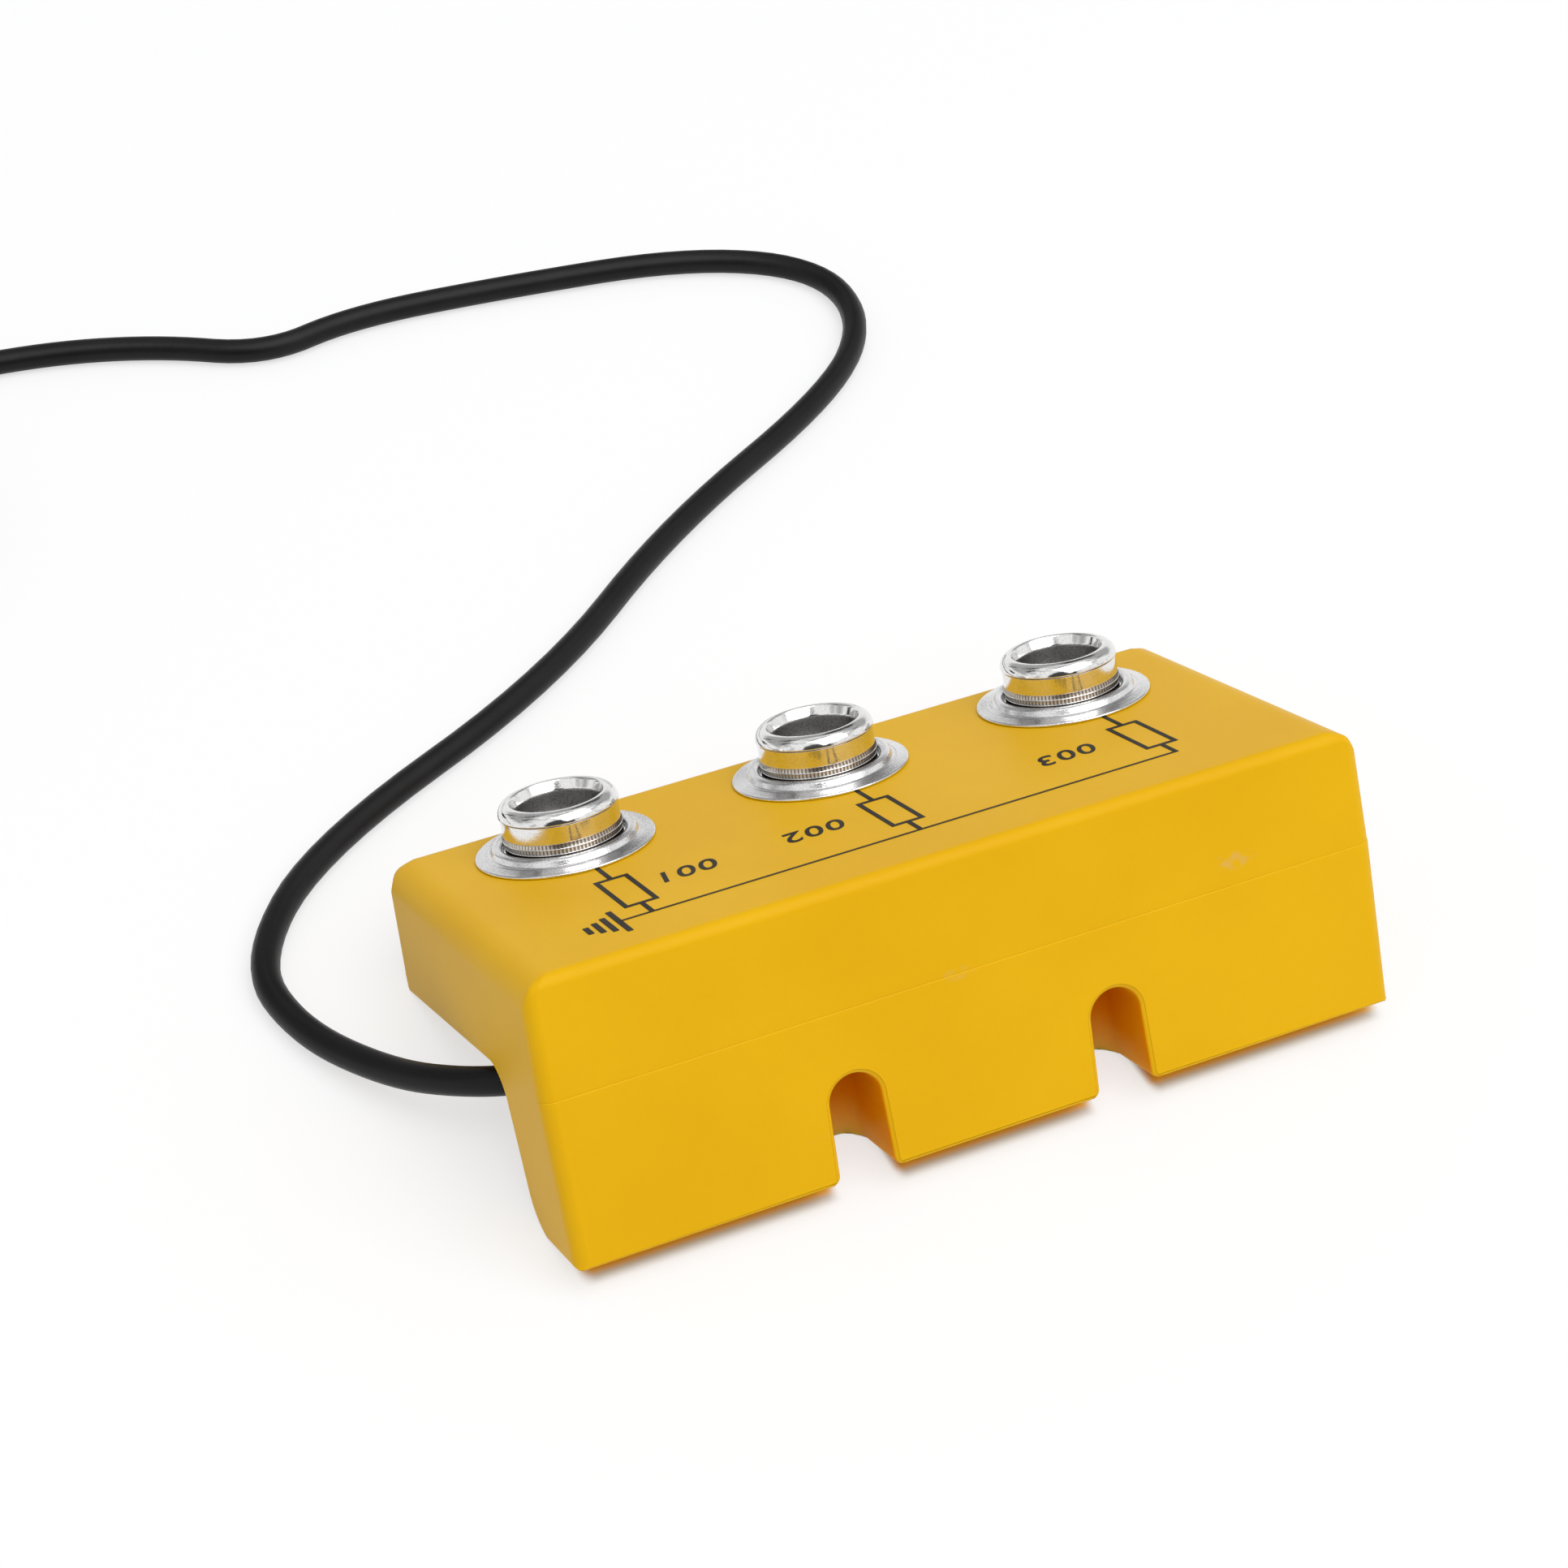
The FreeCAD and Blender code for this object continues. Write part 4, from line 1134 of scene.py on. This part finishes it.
# %% Route of the earth lead
CORD = 2.5
ROUTE = [
    (-28.0, -4.5, 7.37),
    (-33.0, -4.5, 7.37),
    (-37.4, -1.3, 5.7),
    (-41.9, 4.7, 3.0),
    (-46.6, 14.0, 1.25),
    (-47.6, 23.4, 1.25),
    (-37.8, 35.0, 1.25),
    (-10.9, 47.8, 1.25),
    (8.1, 64.5, 1.25),
    (32.2, 78.6, 1.25),
    (41.0, 89.2, 1.25),
    (40.7, 100.1, 1.25),
    (29.0, 107.5, 1.25),
    (8.8, 110.2, 1.25),
    (-7.5, 111.4, 1.25),
    (-17.8, 108.5, 1.25),
    (-27.3, 114.5, 1.25),
    (-39.3, 118.2, 1.25),
    (-54.0, 119.0, 1.25),
    (-67.5, 117.86, 1.25),
    (-73.5, 117.86, 1.25),
]
TAIL = [
    (-93.15, 86.5, 10.1),
    (-93.7, 77.5, 6.0),
    (-93.0, 67.5, 2.3),
    (-91.8, 59.5, 1.9),
    (-90.9, 51.8, 1.9),
]
COIL_CENTRE = (-76.0, 98.5)
COIL_MIDDLE = 14.2
COIL_PITCH = 2.95
LAYER_TURNS = 3.5
LAYERS = 4
LEFT_OUT = 0.75              # of a turn at the coil's end, where the tail leaves
CLIMB = 0.5                  # of a turn, over which the line climbs to the next layer
POINTS_PER_TURN = 24


def coil_point(turns):
    """Point of the coil's line after so many turns from its outer start, at the top."""
    swing = turns % (2 * LAYER_TURNS)
    inward = min(swing, 2 * LAYER_TURNS - swing)
    radius = COIL_MIDDLE + COIL_PITCH * (LAYER_TURNS / 2 - inward)
    climbs = [(turns - layer * LAYER_TURNS) / CLIMB + 0.5 for layer in range(1, LAYERS)]
    height = CORD / 2 + COIL_PITCH * sum(min(1.0, max(0.0, climb)) for climb in climbs)
    angle = 2 * math.pi * (turns + 0.25)
    x = COIL_CENTRE[0] + radius * math.cos(angle)
    y = COIL_CENTRE[1] + radius * math.sin(angle)
    return (x, y, height)


total_turns = LAYERS * LAYER_TURNS - LEFT_OUT
steps = round(total_turns * POINTS_PER_TURN)
coil = [coil_point(total_turns * i / steps) for i in range(steps + 1)]
points = ROUTE + coil + TAIL
print("lead points", len(points))

# %% [markdown]
# One spline follows all the points, with a round bevel as thick as the cord. A mesh tube would
# need more memory and would lose the line.

# %% Earth lead
line = bpy.data.curves.new("earth_lead", "CURVE")
line.dimensions = "3D"
line.resolution_u = 8
line.bevel_depth = CORD / 2 * MM
line.bevel_resolution = 5
line.use_fill_caps = True
spline = line.splines.new("NURBS")
spline.points.add(len(points) - 1)
for spot, point in zip(spline.points, points):
    spot.co = (point[0] * MM, point[1] * MM, point[2] * MM, 1)
spline.order_u = 3
spline.use_endpoint_u = True
earth_lead = bpy.data.objects.new("earth_lead", line)
bpy.context.scene.collection.objects.link(earth_lead)
line.materials.append(BLACK_PVC)
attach(earth_lead, "root")
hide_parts("cord_run", "cord_coil", "cord_tail")

# %% [markdown]
# What stays from the frame keeps its shape and gets a finish: the rivets, tags, resistors, wires
# and solder inside the block, the strain relief and the ring terminal. They could be modelled
# again, but their CAD shapes already have what shows when the block is taken apart. The record
# says which slot each node has, so one table of finishes dresses them all.

# %% Finishes of the frame's own pieces
FINISHES = {
    "nickel_brass": RIVET_NICKEL,
    "tinned_brass": TINNED_BRASS,
    "resistor_enamel": RESISTOR,
    "tinned_copper": TINNED_COPPER,
    "solder": SOLDER,
    "black_rubber": BLACK_RUBBER,
    "black_pvc": BLACK_PVC,
    "black_sleeve": BLACK_SLEEVE,
    "terminal_tin": TERMINAL_TIN,
    "yellow_plastic": YELLOW,
    "bright_nickel": BRIGHT_NICKEL,
}
slot_of = {part["node"]: part["material_slot"] for part in record["subparts"]}
for name, node in nodes.items():
    dress(node, FINISHES[slot_of[name]])
print("dressed nodes", len(nodes))

# %% [markdown]
# The setting is a pale table. It could be lit until it is white, but the block would burn out with
# it. So the floor glows, but only for the camera, mirrors and glass, and the rest of its colour is
# ordinary paint that still takes the shadows. Under the raised front edge of the foot, light goes
# to and fro between the floor and the plastic until it is orange, so a narrow strip of the floor
# there is painted with that orange bounce light for the camera, with gaps at the slots.

# %% Floor
FLOOR_SIZE = 6.0
FLOOR_COLOUR = (0.75, 0.75, 0.755, 1)
SEEN_COLOUR = (0.36, 0.36, 0.363, 1)
FLOOR_GLOW = 0.65
# colour of the painted orange bounce light on the floor under the foot
PAINTED_BOUNCE_TINT = (0.97, 0.52, 0.06, 1)
FOOT_SHADE = (-20.5, -19.2)  # on the bench in y: over these the glow goes away
FOOT_FRONT = (-19.5, -18.6)  # over these the painted orange bounce light comes in
FOOT_BACK = (-13.0, -11.0)   # and over these both end, behind the leg
FOOT_ENDS = (34.6, 36.2)     # the same at both ends, from the middle in x
SLOT_SIDE = (2.3, 3.5)       # and beside the middle of a slot
SIDEWAYS = 0.6               # how far to the right the camera sees in under the edge
WHITE = (1.0, 1.0, 1.0, 1)
DIFFUSE = "ShaderNodeBsdfDiffuse"


def rays(tree, kind):
    return tree.node("ShaderNodeLightPath", {}, {}, kind)


def seen_rays(tree):
    """1 for rays from the camera, a mirror or glass, 0 for the light that falls on the object."""
    kinds = ("Is Camera Ray", "Is Glossy Ray", "Is Transmission Ray")
    direct, mirrored, passed = (rays(tree, kind) for kind in kinds)
    return (direct + mirrored + passed).clamp()


bpy.ops.object.select_all(action="DESELECT")
bpy.ops.mesh.primitive_plane_add(size=FLOOR_SIZE, location=(0, 0, 0))
floor = bpy.context.active_object
floor.name = "floor"
floor_paint, tree = material("floor_paint")
paint = tree.shader(DIFFUSE, Color=FLOOR_COLOUR)
seen_paint = tree.shader(DIFFUSE, Color=SEEN_COLOUR)
painted_bounce = tree.shader(DIFFUSE, Color=PAINTED_BOUNCE_TINT)
glow = tree.shader("ShaderNodeEmission", Color=WHITE, Strength=FLOOR_GLOW)
lifted = tree.node("ShaderNodeAddShader", {}, {0: seen_paint, 1: glow})
along = tree.axis(tree.place(), "Y")
sideways = (tree.axis(tree.place(), "X") - SIDEWAYS).math("ABSOLUTE")
from_slot = (sideways - SLOT_PLACES[-1]).math("ABSOLUTE").band(*SLOT_SIDE)
under_foot = (1 - along.band(*FOOT_BACK)) * (1 - sideways.band(*FOOT_ENDS)) * from_slot
unlit = tree.either(under_foot * along.band(*FOOT_SHADE), lifted, paint)
shown = tree.either(under_foot * along.band(*FOOT_FRONT), unlit, painted_bounce)
tree.surface(tree.either(seen_rays(tree), paint, shown))
dress(floor, floor_paint)
print("floor", FLOOR_SIZE, "m wide")

# %% [markdown]
# Bright metal shows the room it stands in. A white studio all round would leave the studs without
# form, so what they mirror has dark parts: the camera's side, the gap above the back wall, the
# ceiling and some soft streaks. A picture of a sky would do this too, but it isn't procedural. For
# the light that it sheds, the sky is an even pale grey, and the camera sees it white.

# %% Sky
SKY_LEVEL = 0.50
CAMERA_SIDE = (-0.330, -0.860, 0.390)    # the way to the camera, dark against the white
CAMERA_SPREAD = (0.86, 0.90)
WALL_FOOT = (0.03, 0.20)     # heights over which the gap above the back wall begins
WALL_HEAD = (0.70, 0.85)     # and ends
WALL_FRONT = (0.0, 0.3)      # and its front end
CEILING_EDGE = (0.93, 0.98)
STREAK_EDGE = (0.52, 0.62)
WALL_DARK = 0.6
CEILING_DARK = 0.6
STREAK_DARK = 0.45
DARKEST = 0.94               # of the white that a gap takes away

world = bpy.data.worlds.new("studio")
world.use_nodes = True
bpy.context.scene.world = world
sky = Tree(world.node_tree)
facing = sky.node("ShaderNodeTexCoord", {}, {}, "Generated")
depth = sky.axis(facing, "Y")
height = sky.axis(facing, "Z")
toward = sky.node(
    "ShaderNodeVectorMath", {"operation": "DOT_PRODUCT"}, {0: facing, 1: CAMERA_SIDE}, "Value")
behind_camera = toward.band(*CAMERA_SPREAD)
back_wall = height.band(*WALL_FOOT) * (1 - height.band(*WALL_HEAD)) * depth.band(*WALL_FRONT)
ceiling = height.band(*CEILING_EDGE)
streaks = sky.noise(sky.stretched(facing, (2.6, 2.6, 0.7)), scale=1.6).band(*STREAK_EDGE)
gaps = behind_camera + back_wall * WALL_DARK + ceiling * CEILING_DARK + streaks * STREAK_DARK
studio = 1.0 - gaps.clamp() * DARKEST
straight = (rays(sky, "Is Camera Ray") + rays(sky, "Is Transmission Ray")).clamp()
level = SKY_LEVEL * (1 - seen_rays(sky)) + rays(sky, "Is Glossy Ray") * studio + straight
sky.surface(
    sky.shader("ShaderNodeBackground", Color=WHITE, Strength=level), "ShaderNodeOutputWorld")
print("sky level", SKY_LEVEL)

# %% [markdown]
# One large soft lamp high on the right in front gives the faces their different tones and the soft
# shadow to the left. Several small lamps would each add a shadow and a hard spot on the studs,
# which the photo doesn't have.

# %% Key lamp
KEY_PLACE = (0.26, -0.54, 1.48)
KEY_AIM = (0, 0.03, 0)
KEY_SIZE = 1.7
KEY_POWER = 18.2

key_data = bpy.data.lights.new("key", "AREA")
key_data.size = KEY_SIZE
key_data.energy = KEY_POWER
key = bpy.data.objects.new("key", key_data)
key.location = KEY_PLACE
key.rotation_euler = (Vector(KEY_AIM) - Vector(KEY_PLACE)).to_track_quat("-Z", "Y").to_euler()
bpy.context.scene.collection.objects.link(key)
bpy.context.scene.view_settings.view_transform = "Standard"
print("key lamp", KEY_POWER, "W")
